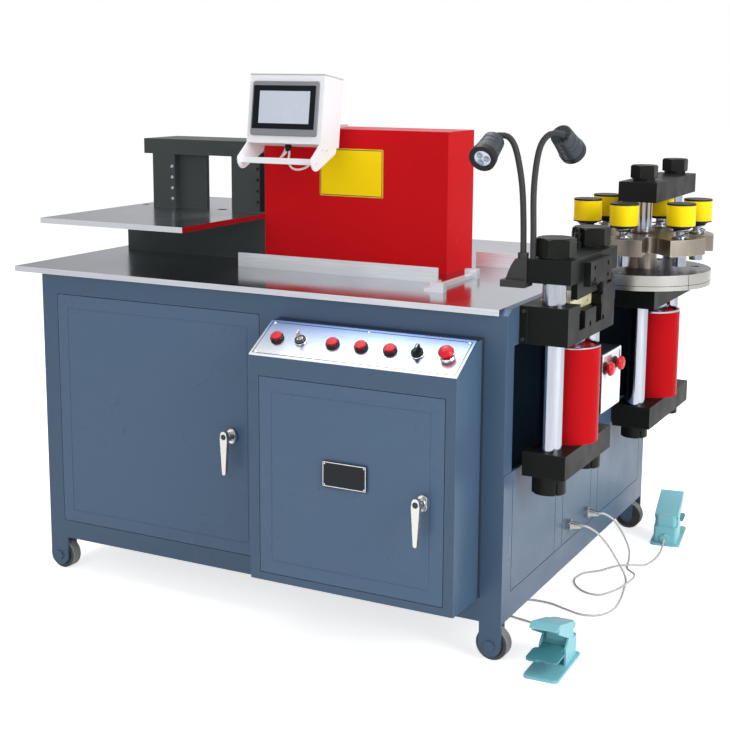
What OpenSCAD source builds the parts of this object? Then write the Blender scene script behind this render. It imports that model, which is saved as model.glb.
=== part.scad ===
// Busbar processing machine: a wheeled cabinet that carries a bending unit, a shear unit and a
// punching unit with a six-station turret. Millimetres, +X along the front, +Y to the back, +Z up.
// Modules are written from the cabinet's left front corner at floor level, and place() moves them
// to the middle of the machine's footprint.

/* [Cabinet] */
// Width of the cabinet
cab_w = 1400; // [1380:5:1440]
// Depth of the cabinet
cab_d = 1180; // [1160:5:1240]
// Height of the cabinet's top edge
cab_top = 865; // [860:1:885]
// Height of the cabinet's bottom edge
cab_bottom = 100; // [95:1:110]
// Thickness of the cabinet's walls
sheet_t = 8; // [6:1:12]
// Left edge of the window in the right wall, from the front
window_y = 50; // [40:1:60]
// Length of the window
window_l = 1080; // [1000:5:1090]
// Height of the window's lower edge
window_z = 475; // [440:1:500]
// Height of the window
window_h = 312; // [290:1:316]
// Width of the seams between the side panels
seam_w = 3; // [2:0.5:5]
// Depth of the seams
seam_t = 2; // [1:0.5:4]

/* [Legs and wheels] */
// Width of a leg plate
leg_w = 58; // [50:1:66]
// Thickness of a leg plate
leg_t = 8; // [6:1:10]
// Diameter of a wheel
wheel_d = 84; // [76:1:92]
// Width of a wheel
wheel_w = 34; // [28:1:40]
// Gap between a wheel and its leg plates
wheel_gap = 3; // [2:0.5:5]
// Diameter of the axle bolts
axle_d = 16; // [12:1:20]
// Height of the axle bolt's head
axle_head = 6; // [4:1:8]

/* [Doors] */
// Left edge of the cabinet door
door_x = 53; // [50:1:70]
// Width of the cabinet door
door_w = 661; // [600:1:680]
// Lower edge of the cabinet door
door_z = 153; // [145:1:170]
// Height of the cabinet door
door_h = 656; // [600:1:670]
// Thickness of both doors
door_t = 18; // [16:1:22]
// Gap round both doors
door_gap = 2; // [2:0.5:3]
// Sheet thickness of the door fronts
skin_t = 3; // [2:0.5:4]
// Distance from the door's edge to the pressed groove
groove_in = 33; // [28:1:40]
// Diameter of the hinge pins
hinge_d = 8; // [6:1:9]
// Distance of the hinge pins from the door's edge
hinge_in = 12; // [11:1:14]
// Depth of the hinge pins behind the door's front
hinge_back = 6; // [5.5:0.5:6.5]
// Length of a lever handle below its spindle
lever_l = 92; // [80:1:110]
// Distance of the lever's front from the door
lever_out = 47; // [40:1:52]
// Thickness of the lever
lever_t = 12; // [8:1:16]
// Diameter of a handle's neck
neck_d = 16; // [12:1:20]

/* [Electrical box] */
// Left edge of the box
box_x = 777; // [765:1:780]
// Width of the box
box_w = 560; // [540:1:570]
// Depth of the box in front of the cabinet
box_d = 147; // [130:1:170]
// Height of the box's lower edge
box_z = 160; // [140:1:180]
// Height of the box's front
box_h = 578; // [560:1:590]
// Level part at the back of the console
shelf_d = 35; // [25:1:40]
// Rise of the console from front to back
slope_h = 66; // [50:1:75]
// Sheet thickness of the box
box_t = 5; // [4:1:6]
// Distance of the box door from the box's left and right edges
box_door_side = 28.5; // [26:0.5:36]
// Distance of the box door from the box's lower edge
box_door_up = 22; // [20:1:30]
// Distance of the box door from the upper edge of the box's front
box_door_down = 52; // [46:1:60]
// Thickness of the stainless console plate
console_t = 3; // [2:0.5:4]

/* [Controls] */
// Power switch, from the box's left edge
switch_at = 49; // [40:1:60]
// Key switch, from the box's left edge
key_at = 116; // [100:1:130]
// Middle push button, from the middle of the box towards the right
button_mid = 4; // [-10:1:15]
// Spacing of the push buttons
button_pitch = 78; // [60:1:80]
// Selector, from the box's right edge
selector_in = 126; // [115:1:135]
// Emergency stop, from the box's right edge
estop_in = 49; // [40:1:60]
// Diameter of the control stems
stem_d = 16; // [12:1:20]
// Diameter of a button cap
cap_d = 26; // [22:1:28]
// Diameter of a mushroom head
mushroom_d = 38; // [34:1:44]
// Travel of a push button
button_travel = 4; // [3:0.5:5]

/* [Work table] */
// Thickness of the work table
table_t = 15; // [12:1:20]
// Overhang of the table on the left
table_left = 90; // [60:5:110]
// Distance of the table's right edge from the cabinet's right face
table_right = 19; // [15:1:25]
// Overhang of the table at the front
table_front = 10; // [5:1:20]
// Overhang of the table at the back
table_back = 20; // [0:1:30]
// Height of the fence rails
fence_h = 40; // [30:1:50]
// Wall of the fence rails
fence_t = 5; // [4:0.5:8]
// Foot width of the fence rails
fence_w = 25; // [20:1:35]
// Length of the front fence rail
fence_l = 620; // [560:5:625]
// Length of the rear fence rail
rear_fence_l = 300; // [200:5:320]

/* [Bending unit] */
// Left end of the bending base
bend_x = -40; // [-60:1:-20]
// Length of the bending base
bend_l = 498; // [495:1:520]
// Front face of the bending unit
bend_y = 447; // [430:1:470]
// Depth of the bending unit
bend_d = 174; // [150:1:190]
// Height of the bending base
bend_base_h = 121; // [110:1:130]
// Thickness of the bending table
bend_table_t = 15; // [12:1:20]
// Front edge of the bending table
bend_table_y = 30; // [0:5:60]
// Depth of the bending table
bend_table_d = 770; // [700:5:800]
// Height of the posts
post_h = 161; // [150:1:175]
// Height of the beam
beam_h = 45; // [36:1:54]
// Width of the right post
post_w = 115; // [105:1:120]
// Left edge of the left post, from the base's left end
post_at = 100; // [90:1:110]
// Width of the left post
left_post_w = 80; // [70:1:90]
// Width of the plate beside the left post
back_plate_w = 97; // [85:1:105]
// Thickness of the plate beside the left post
back_plate_t = 16; // [10:1:24]
// Distance of the die pin's hole from the base's left end
pin_at = 330; // [310:1:340]
// Depth of the die pin's hole in the base
pin_depth = 30; // [25:1:40]
// Diameter of the bending ram
ram_d = 60; // [50:1:70]
// Length of the cylinder cover
cover_l = 582; // [560:1:610]
// Height of the cylinder cover
cover_h = 386; // [380:1:400]
// Sheet thickness of the cylinder cover
cover_t = 3; // [2:0.5:4]
// Outside diameter of the bending cylinder
bend_cyl_d = 130; // [120:1:140]
// Bore of the bending cylinder
bend_bore = 100; // [90:1:105]

/* [Operator panel] */
// Left edge of the panel
hmi_x = 489; // [480:1:500]
// Width of the panel
hmi_w = 237; // [220:1:250]
// Height of the panel
hmi_h = 190; // [170:1:195]
// Depth of the panel
hmi_d = 104; // [90:1:106]
// Height of the panel's top
hmi_top = 1418; // [1410:1:1430]
// Backward lean of the panel
hmi_lean = 8; // [0:1:12]
// Height of the grab bar
grab_h = 16; // [12:1:20]
// Thickness of the two ears
ear_t = 4; // [3:0.5:6]

/* [Shear unit] */
// Distance of the shear columns from the cabinet's right face
shear_out = 70; // [66:1:76]
// Width of the shear blocks across the columns
shear_w = 110; // [104:1:116]
// Front face of the shear blocks
shear_y = 75; // [70:1:90]
// Length of the shear blocks
shear_l = 350; // [330:1:360]
// Height of the middle block's lower face
shear_mid_z = 788; // [785:1:795]
// Height of the top block's lower face
shear_top_z = 936; // [925:1:945]
// Thickness of the top block
shear_top_t = 57; // [50:1:64]
// Height of the bottom block's lower face
shear_low_z = 462; // [450:1:470]
// Thickness of the bottom block
shear_low_t = 60; // [52:1:68]
// Diameter of the shear columns
shear_col_d = 58; // [50:1:62]
// Distance of each shear column from the block's end
shear_col_in = 44; // [40:1:48]
// Width across the flats of the shear nuts
shear_nut_w = 86; // [76:1:92]
// Height of the shear nuts
shear_nut_h = 50; // [40:1:56]
// Diameter of the shear cylinder
shear_cyl_d = 148; // [140:1:156]
// Diameter of the shear rod
shear_rod_d = 70; // [60:1:76]
// Working stroke of the shear
shear_stroke = 30; // [20:1:34]
// Width of the blade notch
notch_w = 158; // [150:1:162]
// Depth of the blade notch
notch_h = 22; // [22:1:28]
// Depth of the two slots below the notch
slot_h = 42; // [36:1:48]
// Thickness of the upper blade
blade_t = 16; // [12:1:18]
// Height of the upper blade's edge above the table
blade_up = 9; // [9:1:12]
// Thickness of the keeper plate
keeper_t = 18; // [14:1:22]
// Height of the step behind the notch
step_h = 22; // [16:1:24]

/* [Punching unit] */
// Distance of the punching columns from the cabinet's right face
punch_out = 60; // [57:1:66]
// Width of the punching blocks across the columns
punch_w = 110; // [104:1:113]
// Height of the middle block's lower face
punch_mid_z = 763; // [755:1:770]
// Height of the top block's lower face
punch_top_z = 1068; // [1068:1:1080]
// Thickness of the top block
punch_top_t = 56; // [48:1:64]
// Height of the bottom block's lower face
punch_low_z = 412; // [400:1:420]
// Thickness of the bottom block
punch_low_t = 63; // [55:1:70]
// Diameter of the punching columns
punch_col_d = 54; // [48:1:58]
// Spacing of the punching columns
punch_pitch = 325; // [320:1:335]
// Distance of a column from the end of a block
punch_col_in = 38; // [35:1:42]
// Distance of the front column from the top block's front end
punch_top_in = 60; // [45:1:65]
// How far the bottom block runs on behind the top block
punch_low_over = 14; // [0:1:20]
// Width across the flats of the punching nuts
punch_nut_w = 68; // [64:1:74]
// Height of the punching nuts with their collars
punch_nut_h = 45; // [40:1:50]
// Diameter of the punching cylinder
punch_cyl_d = 150; // [140:1:152]
// Diameter of the punching rod
punch_rod_d = 70; // [60:1:76]
// Working stroke of the punch
punch_stroke = 20; // [12:1:20]

/* [Turret] */
// Distance of the turret's axis from the cabinet's front face
turret_y = 865; // [860:1:872]
// Outside radius of the star plate
star_r = 199; // [194:1:201]
// Thickness of the star plate
star_t = 45; // [38:1:50]
// Height of the star plate above the table
star_up = 52; // [48:1:56]
// Radius on which the punches stand
station_r = 156.5; // [152:0.5:158]
// Radius of the die disc
die_r = 196; // [190:1:198]
// Diameter of the punch caps
punch_cap_d = 78; // [70:1:82]
// Height of the punch caps
punch_cap_h = 56; // [50:1:58]
// Diameter of the punch stems
punch_stem_d = 24; // [20:1:28]
// Diameter of the guide sleeves under the star plate
guide_d = 38; // [34:1:44]
// Length of the guide sleeves
guide_l = 32; // [26:1:36]
// Mean diameter of the return springs
spring_d = 44; // [40:1:50]
// Wire diameter of the return springs
wire_d = 4; // [3:0.5:4.5]
// Radius of the rounded valleys between the stations
valley_r = 15; // [12:1:20]

/* [Side control box] */
// Distance of the side box from the front
side_y = 475; // [460:1:490]
// Length of the side box
side_l = 161; // [150:1:170]
// Height of the side box's lower face
side_z = 533; // [525:1:545]
// Height of the side box
side_h = 159; // [140:1:165]
// Depth of the side box
side_d = 80; // [60:1:90]

/* [Lamps] */
// Diameter of the lamp necks
lamp_neck_d = 15; // [12:1:18]
// Diameter of the lamp heads
lamp_d = 70; // [62:1:74]
// Length of the lamp heads
lamp_l = 100; // [90:1:110]

/* [Pedals] */
// Width of a pedal base
pedal_w = 88; // [80:1:96]
// Length of a pedal base
pedal_l = 192; // [180:1:204]
// Thickness of a pedal base
pedal_t = 7; // [5:1:9]
// Height of the switch housing
pedal_house_h = 58; // [54:1:64]
// Length of the switch housing
pedal_house_l = 72; // [64:1:78]
// Height of the hood
hood_h = 132; // [124:1:140]
// Thickness of the hood
hood_t = 4; // [3:0.5:6]
// Height of the treadle's pivot
treadle_z = 44; // [40:1:46]
// Diameter of the pedal cables
cable_d = 6; // [5:0.5:8]

/* [Fits] */
// Running clearance of shafts in bores, on the radius
run = 0.05; // [0.02:0.01:0.1]
// Corner radius of cast pieces
cast_r = 10; // [6:1:14]

/* [Hidden] */
$fn = 64;
e = 1;
table_z = cab_top + table_t;

// wheels
axle_z = wheel_d / 2;
axle_x = leg_w / 2;
fork_w = wheel_w + 2 * wheel_gap;
axle_y = leg_t + fork_w / 2;

// electrical box
slope_d = box_d - shelf_d;
slope_a = atan2(slope_h, slope_d);
slope_l = norm([slope_d, slope_h]);
box_front_z = box_z + box_h;
box_top_z = box_front_z + slope_h;
box_door_x = box_x + box_door_side;
box_door_w = box_w - 2 * box_door_side;
box_door_h = box_h - box_door_up - box_door_down;
box_door_z = box_z + box_door_up;

// bending unit
bend_x1 = bend_x + bend_l;
bend_y1 = bend_y + bend_d;
bend_base_z = table_z + bend_base_h;
bend_table_z = bend_base_z + bend_table_t;
beam_z = bend_table_z + post_h;
ram_y = bend_y + bend_d / 2;
ram_z = bend_table_z + post_h / 2;
post_x = bend_x + post_at;
post_x1 = post_x + left_post_w;
gap_x0 = post_x1 + back_plate_w;
gap_x1 = bend_x1 - post_w;
pin_x = bend_x + pin_at;
pin_y = bend_y + 30;
pin_r = 15;

// shear unit
shear_x = cab_w + shear_out;
shear_x0 = shear_x - shear_w / 2;
shear_x1 = shear_x + shear_w / 2;
shear_y1 = shear_y + shear_l;
shear_cols = [shear_y + shear_col_in, shear_y1 - shear_col_in];
shear_mid_y = shear_y + shear_l / 2;
shear_top_z1 = shear_top_z + shear_top_t;
shear_low_z1 = shear_low_z + shear_low_t;
notch_y = shear_cols[0] + shear_col_d / 2 + 12;
notch_z = table_z - notch_h;
keeper_y = notch_y + 6;
keeper_y1 = notch_y + notch_w + 6;
shear_cyl_l = shear_mid_z - shear_low_z1 - 26;
shear_cyl_z1 = shear_low_z1 + shear_cyl_l;
blade_x = shear_x + 26;
barrel_t = 14;

// punching unit and turret
punch_x = cab_w + punch_out;
punch_x0 = punch_x - punch_w / 2;
punch_x1 = punch_x + punch_w / 2;
punch_cols = [turret_y, turret_y + punch_pitch];
punch_y = turret_y - punch_col_in;
punch_y1 = turret_y + punch_pitch + punch_col_in;
punch_mid_z1 = table_z - 42;
punch_low_z1 = punch_low_z + punch_low_t;
punch_top_z1 = punch_top_z + punch_top_t;
punch_cyl_y = turret_y + punch_pitch / 2;
punch_cyl_l = punch_mid_z - punch_low_z1 - 34;
punch_cyl_z1 = punch_low_z1 + punch_cyl_l;
star_z = table_z + star_up;
star_z1 = star_z + star_t;
cap_z1 = punch_top_z - 2;
cap_z = cap_z1 - punch_cap_h;
stem_z = star_z - guide_l + 1;
hub_r = punch_col_d / 2 + 1;
work_a = 87.7;

// machine footprint
pedal_rear_at = [cab_w + 79, cab_d - 163];
pedal_rear_yaw = 8;
pedal_front_at = [cab_w + 156, shear_y + 75];
pedal_front_yaw = 182;
foot_r = 12;
x_min = -table_left;
x_max = punch_x + die_r;
y_min = -box_d - lever_out;
y_max = max(punch_y1 + punch_low_over, pedal_rear_at[1] + foot_r + (pedal_w - foot_r) * sin(pedal_rear_yaw)
    + (pedal_l - foot_r) * cos(pedal_rear_yaw));
centre_x = (x_min + x_max) / 2;
centre_y = (y_min + y_max) / 2;

module place() {
    translate([-centre_x, -centre_y, 0]) children();
}

module block(x0, x1, y0, y1, z0, z1) {
    translate([x0, y0, z0]) cube([x1 - x0, y1 - y0, z1 - z0]);
}

module rod(x, y, z0, z1, r) {
    translate([x, y, z0]) cylinder(r = r, h = z1 - z0);
}

// a round bar along X
module bar_x(x0, x1, y, z, r) {
    translate([x0, y, z]) rotate([0, 90, 0]) cylinder(r = r, h = x1 - x0);
}

// a round bar along Y
module bar_y(x, y0, y1, z, r) {
    translate([x, y0, z]) rotate([-90, 0, 0]) cylinder(r = r, h = y1 - y0);
}

module rounded(w, d, r) {
    translate([r, r]) hull() {
        for (x = [0, w - 2 * r], y = [0, d - 2 * r]) translate([x, y]) circle(r = r, $fn = 32);
    }
}

// a hexagon by its width across the flats
module hexagon(w) {
    circle(d = w / cos(30), $fn = 6);
}

// ---------- swept tubes ----------

function unit(v) = v / norm(v);
function catmull(a, b, c, d, t) = 0.5 * (2 * b + (c - a) * t
    + (2 * a - 5 * b + 4 * c - d) * t * t + (3 * b - a - 3 * c + d) * t * t * t);
function curve(p, n) = [
    for (i = [0 : len(p) - 2], k = [0 : n - 1])
        catmull(p[max(i - 1, 0)], p[i], p[i + 1], p[min(i + 2, len(p) - 1)], k / n),
    p[len(p) - 1]];
function tangent(p, i) = unit(p[min(i + 1, len(p) - 1)] - p[max(i - 1, 0)]);
function carried(p, i) = i == 0
    ? unit(cross(tangent(p, 0), abs(tangent(p, 0).z) > 0.9 ? [1, 0, 0] : [0, 0, 1]))
    : let (u = carried(p, i - 1), t = tangent(p, i)) unit(u - (u * t) * t);

module sweep(p, r, sides) {
    rings = [
        for (i = [0 : len(p) - 1])
            let (u = carried(p, i), v = cross(tangent(p, i), u))
                for (k = [0 : sides - 1])
                    p[i] + r * (cos(360 * k / sides) * u + sin(360 * k / sides) * v)];
    last = (len(p) - 1) * sides;
    quads = [
        for (i = [0 : len(p) - 2], k = [0 : sides - 1])
            let (a = i * sides + k, b = i * sides + (k + 1) % sides)
                each [[a, b, a + sides], [b, b + sides, a + sides]]];
    caps = [[for (k = [sides - 1 : -1 : 0]) k], [for (k = [0 : sides - 1]) last + k]];
    polyhedron(points = rings, faces = concat([for (q = quads) [q[2], q[1], q[0]]],
        [for (c = caps) [for (k = [len(c) - 1 : -1 : 0]) c[k]]]), convexity = 6);
}

// a compression spring between two levels, with flat end turns
module spring(z0, z1, turns) {
    n = 18;
    rise = z1 - z0 - wire_d;
    helix = [
        for (i = [0 : n * turns])
            let (f = i / (n * turns), a = 360 * i / n)
                [spring_d / 2 * cos(a), spring_d / 2 * sin(a),
                    z0 + wire_d / 2 + rise * min(max((f * turns - 0.6) / (turns - 1.2), 0), 1)]];
    sweep(helix, wire_d / 2, 6);
}

// ---------- cabinet ----------

module leg() {
    plates = [[0, leg_t, leg_w], [leg_t + fork_w, leg_t * 2 + fork_w, leg_w * 0.6]];
    for (p = plates) {
        translate([axle_x, p[1], 0]) rotate([90, 0, 0]) linear_extrude(p[1] - p[0]) {
            translate([0, axle_z]) circle(d = p[2]);
            translate([-p[2] / 2, axle_z]) square([p[2], cab_bottom - axle_z + e]);
        }
    }
    bar_y(axle_x, 0, 2 * leg_t + fork_w, axle_z, axle_d / 2);
    translate([axle_x, 0, axle_z]) rotate([90, 0, 0]) linear_extrude(axle_head)
        hexagon(axle_d * 1.5);
}

module legs() {
    for (mx = [0, 1], my = [0, 1]) {
        translate([mx * cab_w, my * cab_d, 0]) mirror([mx, 0, 0]) mirror([0, my, 0]) leg();
    }
}

// the space that a hinged leaf fills, with its gap
module leaf_opening(w, h, depth) {
    block(-door_gap, w + door_gap, -e, depth + e, -door_gap, h + door_gap);
}

// the two blocks behind the wall that hold a leaf's hinge pins
module hinge_blocks(h, wall_t) {
    for (z = [-door_gap - 16, h + door_gap]) {
        block(-door_gap, 2 * hinge_in + 6, wall_t - e, door_t + 6, z, z + 16);
    }
}

module hinge_pins(h, r, reach) {
    rod(hinge_in, hinge_back, -door_gap - reach, 8, r);
    rod(hinge_in, hinge_back, h - 8, h + door_gap + reach, r);
}

// a hinged leaf: folded sheet with a pressed groove, pins at its left edge, a boss for the handle
module leaf(w, h, spindle) {
    difference() {
        union() {
            difference() {
                block(0, w, 0, door_t, 0, h);
                block(hinge_in * 2, w - 12, skin_t, door_t + e, 20, h - 20);
            }
            bar_y(spindle[0], -6, door_t - 4, spindle[1], 17);
        }
        difference() {
            block(groove_in, w - groove_in, -0.1, 1.2, groove_in, h - groove_in);
            block(groove_in + 5, w - groove_in - 5, -e, 2, groove_in + 5, h - groove_in - 5);
        }
        bar_y(spindle[0], -10, door_t + e, spindle[1], neck_d / 2 + run);
    }
    hinge_pins(h, hinge_d / 2, 12);
}

// a lever handle: neck through the leaf, lever hanging in front, cam behind
module lever(spindle) {
    at = [spindle[0], 0, spindle[1]];
    translate(at) {
        bar_y(0, -lever_out + 2, door_t - 4 + run, 0, neck_d / 2);
        translate([0, -lever_out + lever_t, 0]) rotate([90, 0, 0]) linear_extrude(lever_t) hull() {
            translate([0, 12]) circle(r = 9, $fn = 32);
            circle(r = 11, $fn = 32);
            translate([0, -lever_l]) circle(r = 5, $fn = 32);
        }
        bar_y(0, door_t - 4 + run, door_t + 2, 0, 14);
    }
}

left_spindle = [door_w - 83, 324];
box_spindle = [box_door_w - 51, 250];

module at_left_door() {
    translate([door_x, 0, door_z]) children();
}

module at_box_door() {
    translate([box_door_x, -box_d, box_door_z]) children();
}

module cabinet_shell() {
    color([0.29, 0.36, 0.45]) place() difference() {
        union() {
            difference() {
                block(0, cab_w, 0, cab_d, cab_bottom, cab_top);
                block(sheet_t, cab_w - sheet_t, sheet_t, cab_d - sheet_t, cab_bottom + sheet_t,
                    cab_top + e);
            }
            legs();
            at_left_door() hinge_blocks(door_h, sheet_t);
            prism_x(cab_w - table_right, cab_w) polygon([[0, cab_top - e], [0, cab_top],
                [2 * table_t, table_z], [cab_d, table_z], [cab_d, cab_top - e]]);
        }
        at_left_door() leaf_opening(door_w, door_h, sheet_t);
        at_left_door() hinge_pins(door_h, hinge_d / 2 + run, 12.5);
        block(cab_w - sheet_t - e, cab_w + e, window_y, window_y + window_l, window_z,
            window_z + window_h);
        block(cab_w - sheet_t - e, cab_w + e, punch_cyl_y - punch_cyl_d / 2 - 6,
            punch_cyl_y + punch_cyl_d / 2 + 6, punch_low_z1 - punch_stroke - 6, window_z + e);
        block(cab_w - seam_t, cab_w + e, -e, window_y + e, window_z, window_z + window_h);
        rod(punch_x, turret_y, punch_mid_z1 - 2, table_z + e, die_r + 3);
        for (y = [0.048, 0.312, 0.361, 0.56, 0.612, 0.954]) {
            block(cab_w - seam_t, cab_w + e, y * cab_d, y * cab_d + seam_w, cab_bottom + 70,
                window_z - 20);
        }
        block(cab_w - seam_t, cab_w + e, 0.048 * cab_d, 0.954 * cab_d + seam_w,
            cab_bottom + 70 - seam_w, cab_bottom + 70);
        for (g = glands) bar_x(cab_w - sheet_t - e, cab_w + e, g[0], g[1], gland_r * 0.6);
    }
}

module wheel(at_x, at_y) {
    place() translate([at_x, at_y, axle_z]) rotate([90, 0, 0]) rotate_extrude() {
        polygon([[axle_d / 2 + run, -wheel_w / 2], [axle_d, -wheel_w / 2],
            [axle_d + 2, -wheel_w / 2 + 4], [wheel_d / 2 - 12, -wheel_w / 2 + 4],
            [wheel_d / 2 - 10, -wheel_w / 2], [wheel_d / 2 - 3, -wheel_w / 2],
            [wheel_d / 2, -wheel_w / 2 + 3], [wheel_d / 2, wheel_w / 2 - 3],
            [wheel_d / 2 - 3, wheel_w / 2], [wheel_d / 2 - 10, wheel_w / 2],
            [wheel_d / 2 - 12, wheel_w / 2 - 4], [axle_d + 2, wheel_w / 2 - 4],
            [axle_d, wheel_w / 2], [axle_d / 2 + run, wheel_w / 2]]);
    }
}

module wheel_front_left() {
    color([0.2, 0.2, 0.2]) wheel(axle_x, axle_y);
}

module wheel_front_right() {
    color([0.2, 0.2, 0.2]) wheel(cab_w - axle_x, axle_y);
}

module wheel_rear_left() {
    color([0.2, 0.2, 0.2]) wheel(axle_x, cab_d - axle_y);
}

module wheel_rear_right() {
    color([0.2, 0.2, 0.2]) wheel(cab_w - axle_x, cab_d - axle_y);
}

module left_door() {
    color([0.29, 0.36, 0.47]) place() at_left_door() leaf(door_w, door_h, left_spindle);
}

module left_door_handle() {
    color([0.8, 0.8, 0.82]) place() at_left_door() lever(left_spindle);
}

// ---------- cable glands ----------

glands = [[470, 217], [620, 208]];
gland_r = 15;
gland_l = 40;

module cable_glands() {
    color([0.55, 0.57, 0.6]) place() for (g = glands) {
        translate([cab_w, g[0], g[1]]) rotate([0, 90, 0]) {
            translate([0, 0, -sheet_t]) cylinder(r = gland_r * 0.6, h = sheet_t);
            linear_extrude(12) hexagon(gland_r * 1.8);
            translate([0, 0, 12]) cylinder(r1 = gland_r * 0.8, r2 = cable_d, h = gland_l - 12);
        }
    }
}

// ---------- electrical box ----------

module box_profile(t) {
    polygon([[-t, box_z + t], [-box_d + t, box_z + t], [-box_d + t, box_front_z - t * 0.6],
        [-shelf_d - t * 0.3, box_top_z - t], [-t, box_top_z - t]]);
}

module prism_x(x0, x1) {
    translate([x0, 0, 0]) rotate([90, 0, 90]) linear_extrude(x1 - x0) children();
}

// moves onto the console: x from the box's left edge, s up the slope
module on_slope(x, s = slope_l / 2) {
    translate([box_x + x, -box_d, box_front_z]) rotate([slope_a, 0, 0]) translate([0, s, 0])
        children();
}

selector_at = box_w - selector_in;
estop_at = box_w - estop_in;
button_list = [for (k = [-1 : 1]) box_w / 2 + button_mid + k * button_pitch];
stem_list = concat([switch_at, key_at, selector_at, estop_at], button_list);

module electrical_box() {
    color([0.29, 0.36, 0.45]) place() difference() {
        union() {
            difference() {
                prism_x(box_x, box_x + box_w) box_profile(0);
                prism_x(box_x + box_t, box_x + box_w - box_t) box_profile(box_t);
            }
            at_box_door() hinge_blocks(box_door_h, box_t);
        }
        at_box_door() leaf_opening(box_door_w, box_door_h, box_t);
        at_box_door() hinge_pins(box_door_h, hinge_d / 2 + run, 12.5);
        for (x = stem_list) on_slope(x) translate([0, 0, -30]) cylinder(d = stem_d + 6, h = 40);
    }
}

module console_plate() {
    color([0.8, 0.82, 0.84]) place() {
        difference() {
            prism_x(box_x, box_x + box_w) polygon([[-box_d, box_front_z],
                [-shelf_d, box_top_z], [0, box_top_z], [0, box_top_z + console_t],
                [-shelf_d - console_t * tan(slope_a / 2), box_top_z + console_t],
                [-box_d - console_t * sin(slope_a), box_front_z + console_t * cos(slope_a)]]);
            for (x = stem_list) {
                on_slope(x) translate([0, 0, -e]) cylinder(d = stem_d + 2 * run, h = 10);
            }
        }
        for (x = concat([switch_at], button_list)) {
            on_slope(x) translate([0, 0, console_t]) ring(cap_d / 2 + 4, 6);
        }
        on_slope(estop_at) translate([0, 0, console_t]) ring(stem_d / 2 + 9, 4, stem_d / 2 + 1);
    }
}

// a fixed bezel ring
module ring(r, h, hole = cap_d / 2 + 0.5) {
    difference() {
        cylinder(r = r, h = h);
        translate([0, 0, -e]) cylinder(r = hole, h = h + 2 * e);
    }
}

module box_door() {
    color([0.29, 0.36, 0.47]) place() at_box_door() leaf(box_door_w, box_door_h, box_spindle);
}

module box_door_handle() {
    color([0.8, 0.8, 0.82]) place() at_box_door() lever(box_spindle);
}

// a push button: cap in its bezel, stem through the console
module push_button(x) {
    place() on_slope(x) {
        translate([0, 0, -18]) cylinder(d = stem_d, h = 18 + console_t + button_travel + 2);
        translate([0, 0, console_t + button_travel + 1]) cylinder(d = cap_d, h = 7);
    }
}

module power_switch() {
    color([0.85, 0.15, 0.12]) push_button(switch_at);
}

module button_1() {
    color([0.85, 0.12, 0.12]) push_button(button_list[0]);
}

module button_2() {
    color([0.85, 0.12, 0.12]) push_button(button_list[1]);
}

module button_3() {
    color([0.85, 0.12, 0.12]) push_button(button_list[2]);
}

// a rotary switch: stem, round base and a grip across it
module rotary(x, base_d, grip) {
    place() on_slope(x) {
        translate([0, 0, -18]) cylinder(d = stem_d, h = 20 + console_t);
        translate([0, 0, console_t + run]) cylinder(d = base_d, h = 8);
        translate([-grip[0] / 2, -grip[1] / 2, console_t + 6]) cube(grip);
    }
}

module key_switch() {
    color([0.75, 0.76, 0.78]) rotary(key_at, 28, [3, 14, 24]);
}

module selector() {
    color([0.1, 0.1, 0.1]) rotary(selector_at, 30, [8, 28, 14]);
}

// a mushroom button on +Z
module mushroom(stem_in) {
    translate([0, 0, -stem_in]) cylinder(d = stem_d, h = stem_in + 14);
    translate([0, 0, 10]) rotate_extrude() {
        polygon([[0, 0], [mushroom_d / 2 - 5, 0], [mushroom_d / 2, 4], [mushroom_d / 2, 8],
            [mushroom_d / 2 - 3, 13], [mushroom_d / 4, 16], [0, 17]]);
    }
}

module emergency_stop() {
    color([0.8, 0.1, 0.12]) place() on_slope(estop_at) translate([0, 0, console_t])
        mushroom(18);
}

// ---------- work table ----------

module work_table() {
    color([0.72, 0.76, 0.82]) place() difference() {
        block(-table_left, cab_w - table_right, -table_front, cab_d + table_back, cab_top, table_z);
        rod(punch_x, turret_y, cab_top - e, table_z + e, die_r + 3);
    }
}

fence_x = bend_x1 + 7;
fence_y = bend_y - 157;
rear_fence_x = cab_w - 355;
rear_fence_y = bend_y1 + 19;

module fence(x, y, l) {
    block(x, x + l, y, y + fence_t, table_z, table_z + fence_h);
    block(x, x + l, y, y + fence_w, table_z, table_z + fence_t);
}

module fence_rails() {
    color([0.78, 0.8, 0.84]) place() {
        fence(fence_x, fence_y, fence_l);
        fence(rear_fence_x, rear_fence_y, rear_fence_l);
    }
}

stop_x = cab_w - 288;
stop_w = 18;
stop_y = shear_y + 75;
stop_block = [36, 20, 25];

module stop_bar() {
    color([0.85, 0.87, 0.9]) place() {
        block(stop_x, stop_x + stop_w, stop_y, shear_y1, table_z, table_z + stop_w / 2);
        translate([stop_x + stop_w - e, stop_y, table_z]) cube(stop_block);
        translate([stop_x, shear_y1 - stop_block.y, table_z]) cube(stop_block);
    }
}

// ---------- bending unit ----------

module bend_frame() {
    color([0.25, 0.28, 0.3]) place() difference() {
        union() {
            block(bend_x, bend_x1, bend_y, bend_y1, table_z, bend_base_z);
            block(post_x, post_x1, bend_y, bend_y1, bend_table_z, beam_z);
            block(post_x1 - e, gap_x0, bend_y + 25, bend_y + 25 + back_plate_t, bend_table_z,
                beam_z);
            block(gap_x1, bend_x1, bend_y, bend_y1, bend_table_z, beam_z);
            block(post_x - 31, bend_x1, bend_y, bend_y1, beam_z, beam_z + beam_h);
        }
        bar_x(gap_x1 - e, bend_x1 + e, ram_y, ram_z, ram_d / 2 + run);
        rod(pin_x, pin_y, bend_base_z - pin_depth, bend_base_z + e, pin_r);
    }
}

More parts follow.
